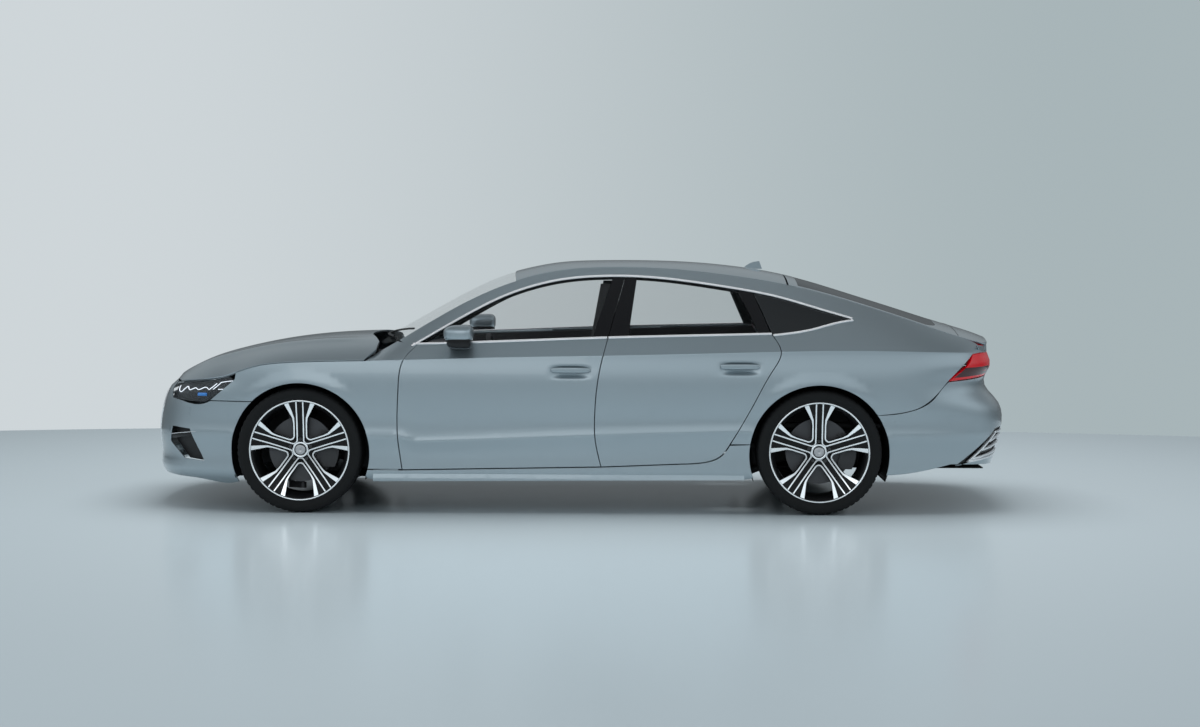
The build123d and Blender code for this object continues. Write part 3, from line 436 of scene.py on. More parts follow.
class Nodes:
    """A node tree with one method that adds any node."""

    def __init__(self, tree):
        self.tree = tree

    def give(self, target, value):
        """Link a wire to a socket, or set the socket's own value."""
        if isinstance(value, Wire):
            self.tree.links.new(value.socket, target)
        else:
            target.default_value = (*value, 1) if isinstance(value, tuple) and len(value) == 3 else value

    def node(self, kind, settings=None, sockets=None, output=0):
        """Node of a kind, its settings set first, then its sockets; gives one of its outputs."""
        made = self.tree.nodes.new(kind)
        for key, value in (settings or {}).items():
            setattr(made, key, value)
        for key, value in (sockets or {}).items():
            self.give(made.inputs[key], value)
        return Wire(self, made.outputs[output])


class Finish(Nodes):
    """A material, from its main shader's fixed values."""

    def __init__(self, name, **values):
        self.material = bpy.data.materials.new(name)
        self.material.use_nodes = True
        super().__init__(self.material.node_tree)
        for key, value in values.items():
            self.set(key.replace("_", " ").title().replace("Ior", "IOR"), value)

    def set(self, socket, value):
        """Value or wire of one of the main shader's sockets."""
        self.give(self.tree.nodes["Principled BSDF"].inputs[socket], value)


def plain(name, colour, roughness=0.5, metallic=0.0, coat=0.0, **more):
    """Even finish."""
    return Finish(name, base_color=colour, roughness=roughness, metallic=metallic, coat_weight=coat, **more).material


def paint_finish():
    """Metallic paint under a clear coat, with fine flakes in its normal."""
    finish = Finish("body_paint", base_color=(0.325, 0.385, 0.42), metallic=0.75, roughness=0.38, coat_weight=1.0,
                    coat_roughness=0.02)
    place = finish.node("ShaderNodeTexCoord", output="Object")
    flakes = finish.node("ShaderNodeTexNoise", {}, {"Vector": place, "Scale": 900.0, "Detail": 1.0})
    bump = finish.node("ShaderNodeBump", {}, {"Height": flakes, "Strength": 0.035, "Distance": 0.002})
    finish.set("Normal", bump)
    return finish.material


def glass_finish(name, colour, alpha):
    """Thin tinted glass: a glossy clear layer over a see-through one."""
    return plain(name, colour, 0.02, coat=1.0, alpha=alpha, coat_roughness=0.0, specular_ior_level=0.6)


PAINT = paint_finish()
GLASS = glass_finish("window_glass", (0.012, 0.015, 0.017), 0.06)
CLEAR = glass_finish("lamp_lens", (0.3, 0.33, 0.36), 0.05)
DARK_GLASS = glass_finish("dark_glass", (0.006, 0.007, 0.008), 0.93)
SHADE_GLASS = plain("shade_glass", (0.016, 0.018, 0.02), 0.2, specular_ior_level=0.12)
BLACK = plain("black_plastic", (0.012, 0.012, 0.013), 0.55)
GLOSS_BLACK = plain("gloss_black", (0.006, 0.006, 0.007), 0.2, coat=0.15, specular_ior_level=0.25)
SATIN = plain("satin_trim", (0.90, 0.91, 0.93), 0.24, 0.45)
POLISHED = plain("polished_alloy", (0.86, 0.87, 0.88), 0.16, 1.0)
ALLOY_BLACK = plain("black_alloy", (0.006, 0.006, 0.0065), 0.35, specular_ior_level=0.2)
RUBBER = plain("tyre_rubber", (0.007, 0.0075, 0.008), 0.75, specular_ior_level=0.3)
# Brake disc: iron grey, darkened further as painted shade for its place deep inside the wheel.
SHADED_DISC = plain("brake_disc", (0.09, 0.09, 0.095), 0.5, 0.6)
STEEL = plain("turned_steel", (0.42, 0.42, 0.43), 0.35, 1.0)
DARK_STEEL = plain("coated_steel", (0.05, 0.05, 0.052), 0.5, 0.3)
CABIN = plain("cabin_plastic", (0.022, 0.022, 0.024), 0.6)
HIDE = plain("seat_hide", (0.03, 0.03, 0.032), 0.48)
LAMP_RED = plain("red_lens", (0.55, 0.004, 0.012), 0.12, coat=0.3, emission_color=(0.7, 0.004, 0.012, 1),
                 emission_strength=0.25)
LAMP_DARK = plain("dark_red_lens", (0.05, 0.002, 0.004), 0.15, coat=0.2)
LAMP_BLUE = plain("blue_lens", (0.02, 0.16, 0.5), 0.2, emission_color=(0.02, 0.2, 0.6, 1), emission_strength=0.4)
LAMP_LIGHT = plain("lamp_light", (0.9, 0.93, 1.0), 0.2, emission_color=(0.85, 0.92, 1.0, 1), emission_strength=0.8)
LAMP_HOUSING = plain("lamp_housing", (0.012, 0.013, 0.015), 0.3, specular_ior_level=0.25)

SLOTS = {"body_paint": PAINT, "black_plastic": BLACK, "glass": GLASS, "lamp_clear": LAMP_HOUSING,
         "lamp_red": LAMP_RED, "bright_trim": SATIN, "cabin_plastic": CABIN, "seat_leather": HIDE,
         "engine_metal": DARK_STEEL, "suspension_metal": DARK_STEEL, "alloy": POLISHED, "tyre": RUBBER,
         "disc_metal": SHADED_DISC}
slot_of = {s["node"]: s["material_slot"] for s in frame["record"]["subparts"]}
slot_of["aerial_fin"] = "body_paint"
for node, obj in frame["nodes"].items():
    obj.data.materials.clear()
    obj.data.materials.append(SLOTS[slot_of[node]])

# Body panels
xs = np.arange(-2300, 2000, 18.0)
crease_lines = [np.c_[xs, crease_z(xs) + off] for off in (-16, -8, -3, 0, 3, 8, 16)]
xs_low = np.arange(-1000, 1000, 18.0)
lower_lines = [np.c_[xs_low, lower_crease(xs_low) + off] for off in (-14, -6, 0, 6, 14)]


def arch_angle(z):
    """Angle at which the wheel arch edge reaches a height, ahead of the axle."""
    return math.asin((z - ARCH_HEIGHT) / ARCH_RADIUS)


def arch_edge(axle, angles, way=1):
    """Wheel arch edge at angles about its centre, mirrored behind the axle if the way is -1."""
    return [(axle + way * ARCH_RADIUS * math.cos(a), ARCH_HEIGHT + ARCH_RADIUS * math.sin(a)) for a in angles]


def arch_over(axle, start_z, end_z, way):
    """Wheel arch edge over the top, from one height to another."""
    return arch_edge(axle, np.linspace(arch_angle(start_z), math.pi - arch_angle(end_z), 44), way)


def arch_foot(axle, start_z, end_z, way):
    """Wheel arch edge on one side of the axle, from one height down to another."""
    return arch_edge(axle, np.linspace(arch_angle(start_z), arch_angle(end_z), 16), way)


def arch_at(axle, z, way):
    """Point where the wheel arch edge crosses a height, ahead of or behind the axle."""
    return axle + way * math.sqrt(ARCH_RADIUS**2 - (z - ARCH_HEIGHT)**2), z


def moved(points, dx, dz=0):
    """Points moved along the car and up."""
    return [(x + dx, z + dz) for x, z in points]


def line_points(line, start, end, count, off=0.0):
    """Points of a line between two places, moved by an offset."""
    return [(x, float(line(x)) + off) for x in np.linspace(start, end, count)]


def belt_run(start, end, off=0.0):
    """Window sill line between two places."""
    return line_points(belt_z, start, end, 14, off)


def chain(*points):
    """Straight runs from each point to the next."""
    return [[a, b] for a, b in zip(points, points[1:])]


fender_arch = arch_over(FRONT_AXLE, 626, 248, 1)
fender_top = line_points(crease_z, 1190, 1930, 16, -GAP)
fender_rail = line_points(rail_z, 1029, 1138, 8, -1)
fender_lead = moved(FRONT_DOOR_LEAD, GAP)
fender_runs = [fender_lead, [fender_lead[-1], fender_rail[0]], fender_rail, [fender_rail[-1], fender_top[0]],
               fender_top, *chain(fender_top[-1], (1936, 748), (2083, 626), fender_arch[0]), fender_arch,
               [fender_arch[-1], (988, 248)]]
panel("front_fender_left", side_skin, fender_runs, "body", PAINT, "front_fenders", pair=True, features=crease_lines)

HANDLES = {"front": (38, 806), "rear": (-912, 829)}


def door_skin(x, z):
    """Body side with a shallow scoop pressed in behind each handle."""
    p = side_skin(x, z)
    for hx, hz in HANDLES.values():
        p[..., 1] -= SCOOP_DEPTH * np.exp(-(((x - hx) / 92)**4 + ((z - hz + 6) / 30)**4))
    return p


def scoop_points(place):
    """Fine points where a scoop is pressed in."""
    u, v = np.meshgrid(np.linspace(-135, 135, 19), np.linspace(-52, 44, 13))
    return np.c_[place[0] + u.ravel(), place[1] + v.ravel()]


front_trail = moved(CENTRE_SHUT, GAP / 2)
rear_lead = moved(CENTRE_SHUT, -GAP / 2)
door_top = belt_run(905, front_trail[-1][0])
front_door_runs = [FRONT_DOOR_LEAD[:-1] + [door_top[0]], door_top, front_trail[::-1]]
rear_top = belt_run(rear_lead[-1][0], REAR_DOOR_TRAIL[-1][0])
rear_door_runs = [rear_lead, rear_top, [rear_top[-1], REAR_DOOR_TRAIL[-1]], REAR_DOOR_TRAIL[::-1]]
DOOR_INNER = 838
DOOR_LEAD_INNER = 913
DOOR_SLANT = 0.75
DOOR_FRONT = {"front": 1009, "rear": -100}


def door_back(front):
    """Inner face of a door: level across the car, further forward than the skin by the slant, and closer to the
    skin at the leading edge."""

    def back(base):
        """Inner points behind the skin's points."""
        x, y, z = base.T
        deep = np.full(len(x), float(DOOR_INNER))
        for _ in range(4):
            deep = np.interp(x + DOOR_SLANT * (y - deep), [front - 60, front + 26],
                             [DOOR_INNER, DOOR_LEAD_INNER])
        deep = np.minimum(deep, y - 12)
        return np.c_[x + DOOR_SLANT * (y - deep), deep, z]

    return back


for which, runs in (("front", front_door_runs), ("rear", rear_door_runs)):
    panel(f"door_{which}_shell_left", door_skin, runs, f"{which}_left_door", PAINT, f"door_{which}_left", pair=True,
          features=crease_lines + lower_lines + [scoop_points(HANDLES[which])], inner=door_back(DOOR_FRONT[which]))

rail_run = line_points(rail_z, 1018, -2200, 60, -1)
quarter_arch = arch_over(REAR_AXLE, 563, 397, -1)
trail_out = moved(REAR_DOOR_TRAIL[4:-1], -GAP)
side_runs = [rail_run, [rail_run[-1], (-2262, 965), (-2300, 930), (-2304, 908)],
             *chain((-2304, 908), (-2243, 902), (-2088, 752)),
             [(-2088, 752), (-1915, 603), (-1800, 575), quarter_arch[0]], quarter_arch,
             [quarter_arch[-1], (-862, 397)], [(-862, 397)] + trail_out + [(-1098, 1011)],
             QUARTER_BELT, [QUARTER_BELT[-1], WINDOW_TOP[0]], WINDOW_TOP, [WINDOW_TOP[-1], rail_run[0]]]
panel("body_side_left", side_skin, side_runs, "body", PAINT, "body_sides", pair=True, features=crease_lines)

sill_tail = moved(REAR_DOOR_TRAIL[:4], -GAP, -GAP)
rear_foot = [arch_at(REAR_AXLE, z, 1) for z in np.linspace(394, 205, 9)]
sill_runs = [*chain(arch_at(FRONT_AXLE, 243, -1), (988, 241), (-134, 263), sill_tail[0]), sill_tail,
             [sill_tail[-1], rear_foot[0]], rear_foot,
             *chain(rear_foot[-1], (-940, 196), (1150, 186), arch_at(FRONT_AXLE, 200, -1))]
panel("sill_left", side_skin, sill_runs, "body", PAINT, pair=True)


def rear_hull(w, z):
    """Lower body round the tail, w growing to the left from the tail's middle."""
    p = hull(PLAN_LENGTH - np.abs(w), z)
    p[..., 1] *= np.where(np.asarray(w) < 0, -1.0, 1.0)
    return p


def nose_at(points):
    """Side-view points as places round the nose."""
    return [(float(hull_place(x, z)), z) for x, z in points]


def tail_at(points):
    """Side-view points as places round the tail."""
    return [(PLAN_LENGTH - float(hull_place(x, z)), z) for x, z in points]


def mirrored(runs):
    """Runs round the nose or tail, on the other side."""
    return [[(-u, v) for u, v in run[::-1]] for run in runs[::-1]]


def both_sides(runs):
    """Left-hand runs from the middle's top to its bottom, closed by their mirror image."""
    return runs + mirrored(runs)


def both_halves(runs):
    """Left-hand runs on the top of the car, from middle to middle, closed by their mirror image."""
    return runs + [[(u, -v) for u, v in run[::-1]] for run in runs[::-1]]


def bead_arrays(surface, points, width, height, lift):
    """Strip along a path on a surface: a flattened half-round profile carried along the path."""
    path = smooth_run(points, 12)
    p = surface(path[:, 0], path[:, 1])
    n = surface_normals(surface, path[:, 0], path[:, 1])
    n *= np.sign(np.sum(n * (p - BODY_MIDDLE) * OUTWARD_SHARE, -1))[:, None]
    along = unit(np.gradient(p, axis=0))
    across = unit(np.cross(n, along))
    a = np.linspace(0, 2 * np.pi, 12, endpoint=False)
    c, s = np.sign(np.cos(a)) * np.abs(np.cos(a))**0.7, np.sign(np.sin(a)) * np.abs(np.sin(a))**0.7
    c, s = (c * width / 2)[None, :, None], (s * height / 2)[None, :, None]
    v = (p + n * lift)[:, None] + across[:, None] * c + n[:, None] * s
    count, m = v.shape[:2]
    i, j = np.meshgrid(np.arange(count - 1), np.arange(m), indexing="ij")
    j2 = (j + 1) % m
    faces = np.stack([i * m + j, (i + 1) * m + j, (i + 1) * m + j2, i * m + j2], -1).reshape(-1, 4)[:, ::-1]
    polys = [tuple(f) for f in faces.tolist()] + [tuple(range(m)), tuple(range((count - 1) * m, count * m))[::-1]]
    return v.reshape(-1, 3), polys, []


def bead(name, surface, points, body, material, width, height, lift=1.0, pair=False):
    """Strip of trim, or a pair of them."""
    put_pieces(name, bead_arrays(surface, points, width, height, lift), body, material, pair=pair)


# Hood, roof and tailgate
GATE_HALF = 560


def hood_half(x):
    """Half-width of the hood's edge: the lower body at the crease's height."""
    return np.maximum(flank(x, crease_z(x)), 60)


hood_edge_x = np.r_[np.linspace(1200, 2290, 50), np.linspace(2300, 2378, 24)]
hood_left = [(x, float(y) - 3) for x, y in zip(hood_edge_x, flank(hood_edge_x, crease_z(hood_edge_x)))]
hood_runs = [*chain((1242, 0), (1217, 340), (1146, 640), (1146, 800), hood_left[0]), hood_left,
             [hood_left[-1], (2380, 0)]]
panel("hood_skin", hood_skin, both_halves(hood_runs), "hood", PAINT, "hood", thick=14, spacing=36)

roof_side = line_points(rail_y, 362, -1196, 40, -2)
roof_runs = [[(388, 0), (382, 300), (366, 560), roof_side[0]], roof_side, [roof_side[-1], (-1196, 300), (-1196, 0)]]
panel("roof_skin", top_skin, both_halves(roof_runs), "body", PAINT, "roof_panel", thick=14, spacing=60)

screen_side = line_points(rail_y, 368, 1022, 20, -3)
screen_runs = [[(392, 0), (386, 300), (371, 560), screen_side[0]], screen_side,
               [screen_side[-1], (1095, 640), (1165, 420), (1206, 160), (1212, 0)]]
panel("windscreen_glass", top_skin, both_halves(screen_runs), "body", GLASS, "windscreen", thick=5, spacing=60, lift=-2)

wipers = {"driver": [(1062, 610), (1088, 500), (1118, 330), (1134, 130), (1138, -40)],
          "passenger": [(1142, -60), (1132, -220), (1104, -430), (1066, -600)]}
for who, run in wipers.items():
    bead(f"wiper_{who}", top_skin, run, "body", BLACK, width=16, height=10, lift=9)

gate_side = line_points(rail_y, -1206, -2250, 36, -4)
gate_runs = [[(-1206, 0), (-1206, 300), gate_side[0]], gate_side,
             [gate_side[-1], (-2330, 560), (-2372, 400), (-2392, 150), (-2394, 0)]]
window_side = line_points(rail_y, -1262, -1990, 24, -36)
window_runs = both_halves([[(-1262, 0), (-1262, 300), window_side[0]], window_side,
                           [window_side[-1], (-2030, 560), (-2068, 350), (-2084, 100), (-2086, 0)]])
panel("tailgate_skin", top_skin, both_halves(gate_runs), "tailgate", PAINT, "tailgate", thick=12, spacing=40,
      holes=[window_runs])
bead("spoiler_seam", top_skin, [(-2176, y) for y in np.linspace(-620, 620, 30)], "tailgate", BLACK, width=3, height=2,
     lift=0.2)
panel("rear_glass", top_skin, window_runs, "tailgate", SHADE_GLASS, "rear_window", thick=5, spacing=60, lift=-1)
gate_face = both_sides(chain((0, 965), (GATE_HALF, 960), (GATE_HALF, 905), (0, 905)))
panel("tailgate_face", rear_hull, gate_face, "tailgate", PAINT, thick=12, spacing=40)

# Side windows and pillars
window_top_z = curve(WINDOW_TOP)


def window_top(start, end):
    """Upper window edge between two places."""
    return line_points(window_top_z, start, end, 24, -3)


def glazing(low_start, low_end, top_start, top_end):
    """Runs round a stretch of side window: the belt line, an edge up to the window's top, and the top line back."""
    low, top = belt_run(low_start, low_end), window_top(top_start, top_end)
    return [low, [low[-1], top[0]], top]


panes = {"front": glazing(925, -80, -195, 925), "rear": glazing(-283, -1026, -912, -332)}
pillars = {"front": glazing(-80, -167, -262, -195), "rear": glazing(-171, -283, -332, -266),
           "rear_tail": glazing(-1026, -1090, -996, -912)}
for which, runs in panes.items():
    panel(f"window_{which}_left", side_skin, runs, f"{which}_left_door", GLASS, f"door_glass_{which}_left", pair=True,
          thick=4, spacing=70, lift=-8)
for which, runs in pillars.items():
    panel(f"pillar_{which}_left", side_skin, runs, f"{which.split('_')[0]}_left_door", GLOSS_BLACK, pair=True,
          thick=14, spacing=40, lift=-2)
quarter_runs = [[(-1098, 1013)] + QUARTER_BELT[1:-1] + [(-1552, 1093)], window_top(-1546, -1002)]
panel("quarter_window_left", side_skin, quarter_runs, "body", DARK_GLASS, "quarter_glass", pair=True, thick=5,
      spacing=50, lift=-4)

for which, run in (("front", belt_run(930, -166, 4)), ("rear", belt_run(-173, -1092, 4))):
    bead(f"belt_trim_{which}_left", side_skin, run, f"{which}_left_door", SATIN, width=14, height=8, pair=True)
bead("window_trim_left", side_skin, line_points(window_top_z, 938, -1556, 90, 3), "body", SATIN, width=15, height=8,
     pair=True)
bead("quarter_trim_left", side_skin, [(-1100, 1008)] + moved(QUARTER_BELT[1:], 0, -4), "body", SATIN, width=14,
     height=8, pair=True)

# Bumpers, lamps and grille
lamp_low = nose_at([(2338, 628), (2260, 616), (2108, 611), (2083, 622)])
bumper_arch = nose_at(arch_foot(FRONT_AXLE, 622, 165, 1))
bumper_low = nose_at([(1979, 153), (2086, 165), (2179, 178)])
bumper_left = [*chain((0, 721), nose_at([(2324, 718)])[0], lamp_low[0]), lamp_low, [lamp_low[-1], bumper_arch[0]],
               bumper_arch, [bumper_arch[-1]] + bumper_low, [bumper_low[-1], (420, 190), (0, 190)]]
grille_ring = both_sides(chain((0, 655), (400, 652), (470, 560), (400, 320), (0, 305)))
intake = chain(*nose_at([(2211, 460), (2330, 470), (2345, 380), (2249, 290), (2125, 279), (2211, 460)]))
panel("front_bumper_skin", hull, both_sides(bumper_left), "body", PAINT, "front_bumper", thick=6, spacing=36,
      holes=[grille_ring, intake, mirrored(intake)])
panel("grille_back", hull, grille_ring, "body", BLACK, "grille", thick=4, spacing=60, lift=-38)
for i, z in enumerate(np.linspace(335, 630, 9)):
    half = 400 + 70 * (1 - abs(z - 560) / (92 if z > 560 else 240))
    bead(f"grille_bar_{i}", hull, [(u, z) for u in np.linspace(-half, half, 30)], "body", SATIN, width=12, height=16,
         lift=-16)
grille_path = [p for run in grille_ring for p in smooth_run(run, 40)[:-1]] + [(0, 655)]
bead("grille_frame", hull, grille_path, "body", SATIN, width=12, height=12, lift=-2)

lamp_runs = [nose_at([(1944, 742), (1975, 762), (2060, 751), (2180, 735), (2322, 716)]),
             nose_at([(2322, 716), (2336, 632)]), nose_at([(2336, 632), (2260, 621), (2112, 616)]),
             nose_at([(2112, 616), (2030, 672), (1944, 742)])]
LAMP_STRIPS = [[(640, 703), (733, 680), (740, 700), (804, 684), (831, 697), (882, 687), (907, 700), (960, 688)],
               [(964, 688), (988, 724)], [(993, 690), (1019, 730)], [(1019, 730), (1080, 737), (1136, 741)],
               [(1136, 741), (1089, 692)], [(1089, 692), (1031, 690)]]
lamp_tail = [*chain(*tail_at([(-2243, 899), (-2096, 752), (-2240, 764)])),
             [tail_at([(-2240, 764)])[0], (640, 772), (564, 775)], [(564, 775), (564, 900)],
             [(564, 900), (640, 902), tail_at([(-2243, 899)])[0]]]
lamp_shade = polygon((872, 826), (760, 828), (580, 832), (580, 786), (740, 780), (930, 770))
tail_corner = polygon((565, 904), *tail_at([(-2300, 906), (-2275, 950)]), (640, 944), (565, 940))
bar_runs = both_sides(chain((0, 899), (GATE_HALF, 899), (GATE_HALF, 820), (0, 820)))
low_face = both_sides(chain((0, 816), (GATE_HALF, 816), (GATE_HALF, 775), (0, 775)))
panel("tail_lamp_bar_lens", rear_hull, bar_runs, "tailgate", LAMP_RED, "tail_lamp_bar", thick=20, spacing=40)
panel("tailgate_foot", rear_hull, low_face, "tailgate", PAINT, thick=12, spacing=40)

rear_arch = arch_foot(REAR_AXLE, 562, 224, -1)
rear_low = tail_at([rear_arch[-1], (-1781, 226), (-2112, 281)])
rear_left = [[(0, 768), (640, 766), tail_at([(-2240, 759)])[0]], tail_at([(-2240, 759), (-2092, 747)]),
             tail_at([(-2092, 747), (-1915, 599), (-1800, 571), rear_arch[0]]), tail_at(rear_arch), rear_low,
             [rear_low[-1], (600, 262), (400, 250), (0, 250)]]
pipe_low, pipe_high, pipe_foot = tail_at([(-2140, 272), (-2388, 478), (-2290, 300)])
exhaust = [*chain(pipe_low, pipe_high, (420, 476), (380, 320)), [(380, 320), pipe_foot, pipe_low]]
EXHAUST_FINS = (((-2236, 305), 338), ((-2296, 352), 384), ((-2344, 400), 430))
exhaust_frame = tail_at([(-2215, 291), (-2392, 452)]) + [(436, 452), (400, 332)]
panel("rear_bumper_skin", rear_hull, both_sides(rear_left), "body", PAINT, "rear_bumper", thick=6, spacing=40,
      holes=[exhaust, mirrored(exhaust)])
valance = both_sides(chain((0, 318), (360, 316), (330, 262), (0, 258)))
panel("rear_valance", rear_hull, valance, "body", BLACK, thick=4, spacing=60, lift=1)

washer = nose_at([(2230, 560)])[0]
sensors = (("front", hull, nose_at([(1985, 545)])[0]), ("rear", rear_hull, tail_at([(-1790, 520)])[0]))
intake_blade = nose_at([(2336, 408), (2270, 420), (2172, 432)])


def across(points, sign):
    """Points round the nose or tail on the left (1) or the right (-1) side."""
    return [(sign * u, v) for u, v in points]


for side, sign in SIDES:
    turn = list if side == "left" else mirrored
    panel(f"intake_back_{side}", hull, turn(intake), "body", BLACK, thick=4, spacing=40, lift=-40)
    bead(f"intake_blade_{side}", hull, across(intake_blade, sign), "body", GLOSS_BLACK, width=26, height=14, lift=-8)
    bead(f"intake_edge_{side}", hull, across(moved(intake_blade, 0, 14), sign), "body", SATIN, width=4, height=8,
         lift=-4)

    panel(f"headlamp_housing_{side}", hull, turn(lamp_runs), "body", LAMP_HOUSING, "headlamps", thick=4, spacing=30,
          lift=-24)
    panel(f"headlamp_lens_{side}", hull, turn(lamp_runs), "body", CLEAR, thick=3, spacing=30)
    for k, run in enumerate(LAMP_STRIPS):
        bead(f"light_strip_{side}_{k}", hull, across(run, sign), "body", LAMP_LIGHT, width=4.5, height=5, lift=-12)
    bead(f"blue_light_{side}", hull, across([(890, 659), (925, 659), (958, 659)], sign), "body", LAMP_BLUE, width=18,
         height=8, lift=-16)

    panel(f"tail_lamp_{side}", rear_hull, turn(lamp_tail), "body", LAMP_RED, "tail_lamps", thick=20, spacing=30)
    panel(f"tail_lamp_shade_{side}", rear_hull, turn(lamp_shade), "body", LAMP_DARK, thick=3, hem=0.8, spacing=30,
          lift=0.8)
    panel(f"tail_corner_{side}", rear_hull, turn(tail_corner), "body", PAINT, thick=8, spacing=30, lift=-3)

    panel(f"exhaust_surround_{side}", rear_hull, turn(exhaust), "body", GLOSS_BLACK, "exhaust_trims", thick=5,
          spacing=40, lift=-16)
    for k, (low, high) in enumerate(EXHAUST_FINS):
        fin = across(tail_at([low]) + [(580, high - 4), (430, high)], sign)
        bead(f"exhaust_fin_{side}_{k}", rear_hull, fin, "body", SATIN, width=14, height=16, lift=-6)
    for k, bar in enumerate(chain(*across(exhaust_frame + exhaust_frame[:1], sign))):
        bead(f"exhaust_frame_{side}_{k}", rear_hull, bar, "body", SATIN, width=13, height=14, lift=-5)

    cover = polygon(*across(moved([(-26, -22), (26, -22), (26, 22), (-26, 22)], *washer), sign))
    panel(f"washer_cover_{side}", hull, cover, "body", PAINT, thick=2.5, hem=1.2, spacing=20, lift=1.2)
    for end, surface, (u, v) in sensors:
        disc = [arc((sign * u, v), 11, 0, 360, 24)]
        panel(f"sensor_{end}_{side}", surface, disc, "body", PAINT, thick=2, hem=1, spacing=8, lift=1.0, step=4)


# Wheels
SPOKES = 5


def dish(u, v):
    """Wheel face: set out by a parabola of the radius, on the wheel's own axis."""
    r = np.hypot(u, v)
    return np.stack([u, 62 + 42 * (r / 275)**2, v], -1)


def rib(points, width):
    """Outline of a straight-sided rib along a centre line."""
    p = np.array(points, float)
    d = np.gradient(p, axis=0)
    n = np.c_[-d[:, 1], d[:, 0]] / np.hypot(*d.T)[:, None]
    w = np.array(width, float)[:, None] / 2
    left, right = (p + n * w), (p - n * w)[::-1]
    return polygon(*[tuple(q) for q in np.vstack([left, right])])


def merged(parts):
    """Several meshes joined into one."""
    verts, faces, normals, first = [], [], [], 0
    for v, f, n in parts:
        verts.append(v)
        normals.append(n)
        faces += [tuple(i + first for i in face) for face in f]
        first += len(v)
    return np.vstack(verts), faces, np.vstack(normals)


def spun(part, count):
    """A part repeated round the wheel's axis."""
    out = []
    for k in range(count):
        a = 2 * math.pi * k / count
        m = np.array([[math.cos(a), 0, -math.sin(a)], [0, 1, 0], [math.sin(a), 0, math.cos(a)]])
        out.append((part[0] @ m.T, part[1], part[2] @ m.T))
    return merged(out)


def rib_part(points, width):
    """Thin polished rib on the wheel face."""
    return panel_arrays(dish, rib(points, width), facing=(0, 1, 0), step=12, spacing=14, thick=7, hem=1.2)


def rib_root(offset, radius):
    """Rounded foot where a rib at an offset from its spoke's middle runs into that of the next spoke."""
    half_turn = math.pi / SPOKES
    reach = offset / math.sin(half_turn) + radius / math.sin(half_turn)
    return arc((-reach * math.sin(half_turn), reach * math.cos(half_turn)), radius, -54, 0, 5)


polished = []
for sign in (-1, 1):
    inner_rib = rib_root(18, 22) + [(-18, 110), (-18, 170), (-19, 230), (-19, 278)]
    outer_rib = rib_root(35, 22) + [(-35, 120), (-35, 150), (-38, 180), (-53, 216), (-77, 270)]
    polished.append(rib_part([(-sign * u, v) for u, v in inner_rib], [8] * len(inner_rib)))
    polished.append(rib_part([(-sign * u, v) for u, v in outer_rib], [8] * 7 + [11, 18, 27]))
polished = spun(merged(polished), SPOKES)
pocket = polygon((-38, 46), (-43, 150), (-47, 185), (-92, 272), (92, 272), (47, 185), (43, 150), (38, 46))
black_face = spun(panel_arrays(dish, pocket, facing=(0, 1, 0), spacing=20, thick=24, lift=-6), SPOKES)


def wheel_turned(profile, count=96):
    """Surface of revolution from closed (out, radius) points, with normals from its neighbours."""
    p = np.array(profile, float)
    a = np.linspace(0, 2 * np.pi, count, endpoint=False)[:, None]
    verts = np.stack([p[:, 1] * np.cos(a), p[:, 0] + 0 * a, p[:, 1] * np.sin(a)], -1)
    d = np.roll(p, -1, 0) - np.roll(p, 1, 0)
    n = np.c_[-d[:, 1], d[:, 0]]
    middle = p.mean(0)
    if np.sum((p - middle) * n) < 0:
        n = -n
    normals = np.stack([n[:, 1] * np.cos(a), n[:, 0] + 0 * a, n[:, 1] * np.sin(a)], -1)
    m = len(p)
    i, j = np.meshgrid(np.arange(count), np.arange(m), indexing="ij")
    i2, j2 = (i + 1) % count, (j + 1) % m
    faces = np.stack([i * m + j, i * m + j2, i2 * m + j2, i2 * m + j], -1).reshape(-1, 4)
    flat = verts.reshape(-1, 3)
    f0 = faces[0]
    face_n = np.cross(flat[f0[1]] - flat[f0[0]], flat[f0[3]] - flat[f0[0]])
    if np.sum(face_n * normals.reshape(-1, 3)[f0[0]]) < 0:
        faces = faces[:, ::-1]
    return flat, [tuple(f) for f in faces.tolist()], unit(normals.reshape(-1, 3))


tyre_half = [(92, 272), (104, 277), (112, 284), (119, 294), (125, 308), (127, 318), (125.5, 330), (121, 340),
             (113, 347), (100, 350.2), (86, 351)]
grooves = [(66, 351.5), (65, 344), (57, 344), (56, 351.7), (24, 352), (23, 344), (14, 344), (13, 352)]
tyre_profile = tyre_half + grooves + [(-o, r) for o, r in (tyre_half + grooves)[::-1]] + [(-92, 268), (92, 268)]
TYRE_STEPS = 240
tyre_part = wheel_turned(tyre_profile, TYRE_STEPS)
tyre_ring = tyre_part[0].reshape(TYRE_STEPS, -1, 3)
shoulder = np.isin(np.abs(np.array(tyre_profile)[:, 0]), (113, 100, 86))
tyre_ring[::4, shoulder] *= (0.987, 1, 0.987)
lip_part = wheel_turned([(100, 272), (112, 274), (114, 280), (112, 286), (100, 285), (92, 278), (92, 272)])
barrel_part = wheel_turned([(100, 273), (88, 262), (60, 250), (-60, 246), (-112, 262), (-116, 282), (-112, 283),
                            (-104, 266), (-60, 252), (60, 256), (84, 266), (96, 276)])
hub_part = wheel_turned([(0.0, 10), (72, 10), (74, 24), (72, 30), (60, 33), (60, 70), (34, 72), (34, 40), (0, 40)], 64)
cap_part = wheel_turned([(66, 0.01), (79, 0.01), (78, 22), (75, 29), (70, 30), (66, 30)], 48)
bolt_part = wheel_turned([(60, 0.01), (72, 0.01), (72, 8), (70, 10), (60, 10)], 12)
bolts = spun((bolt_part[0] + [0, 0, 60], bolt_part[1], bolt_part[2]), SPOKES)
ring_part = wheel_turned([(60, 31), (67, 31), (68, 40), (66, 46), (60, 46)], 64)
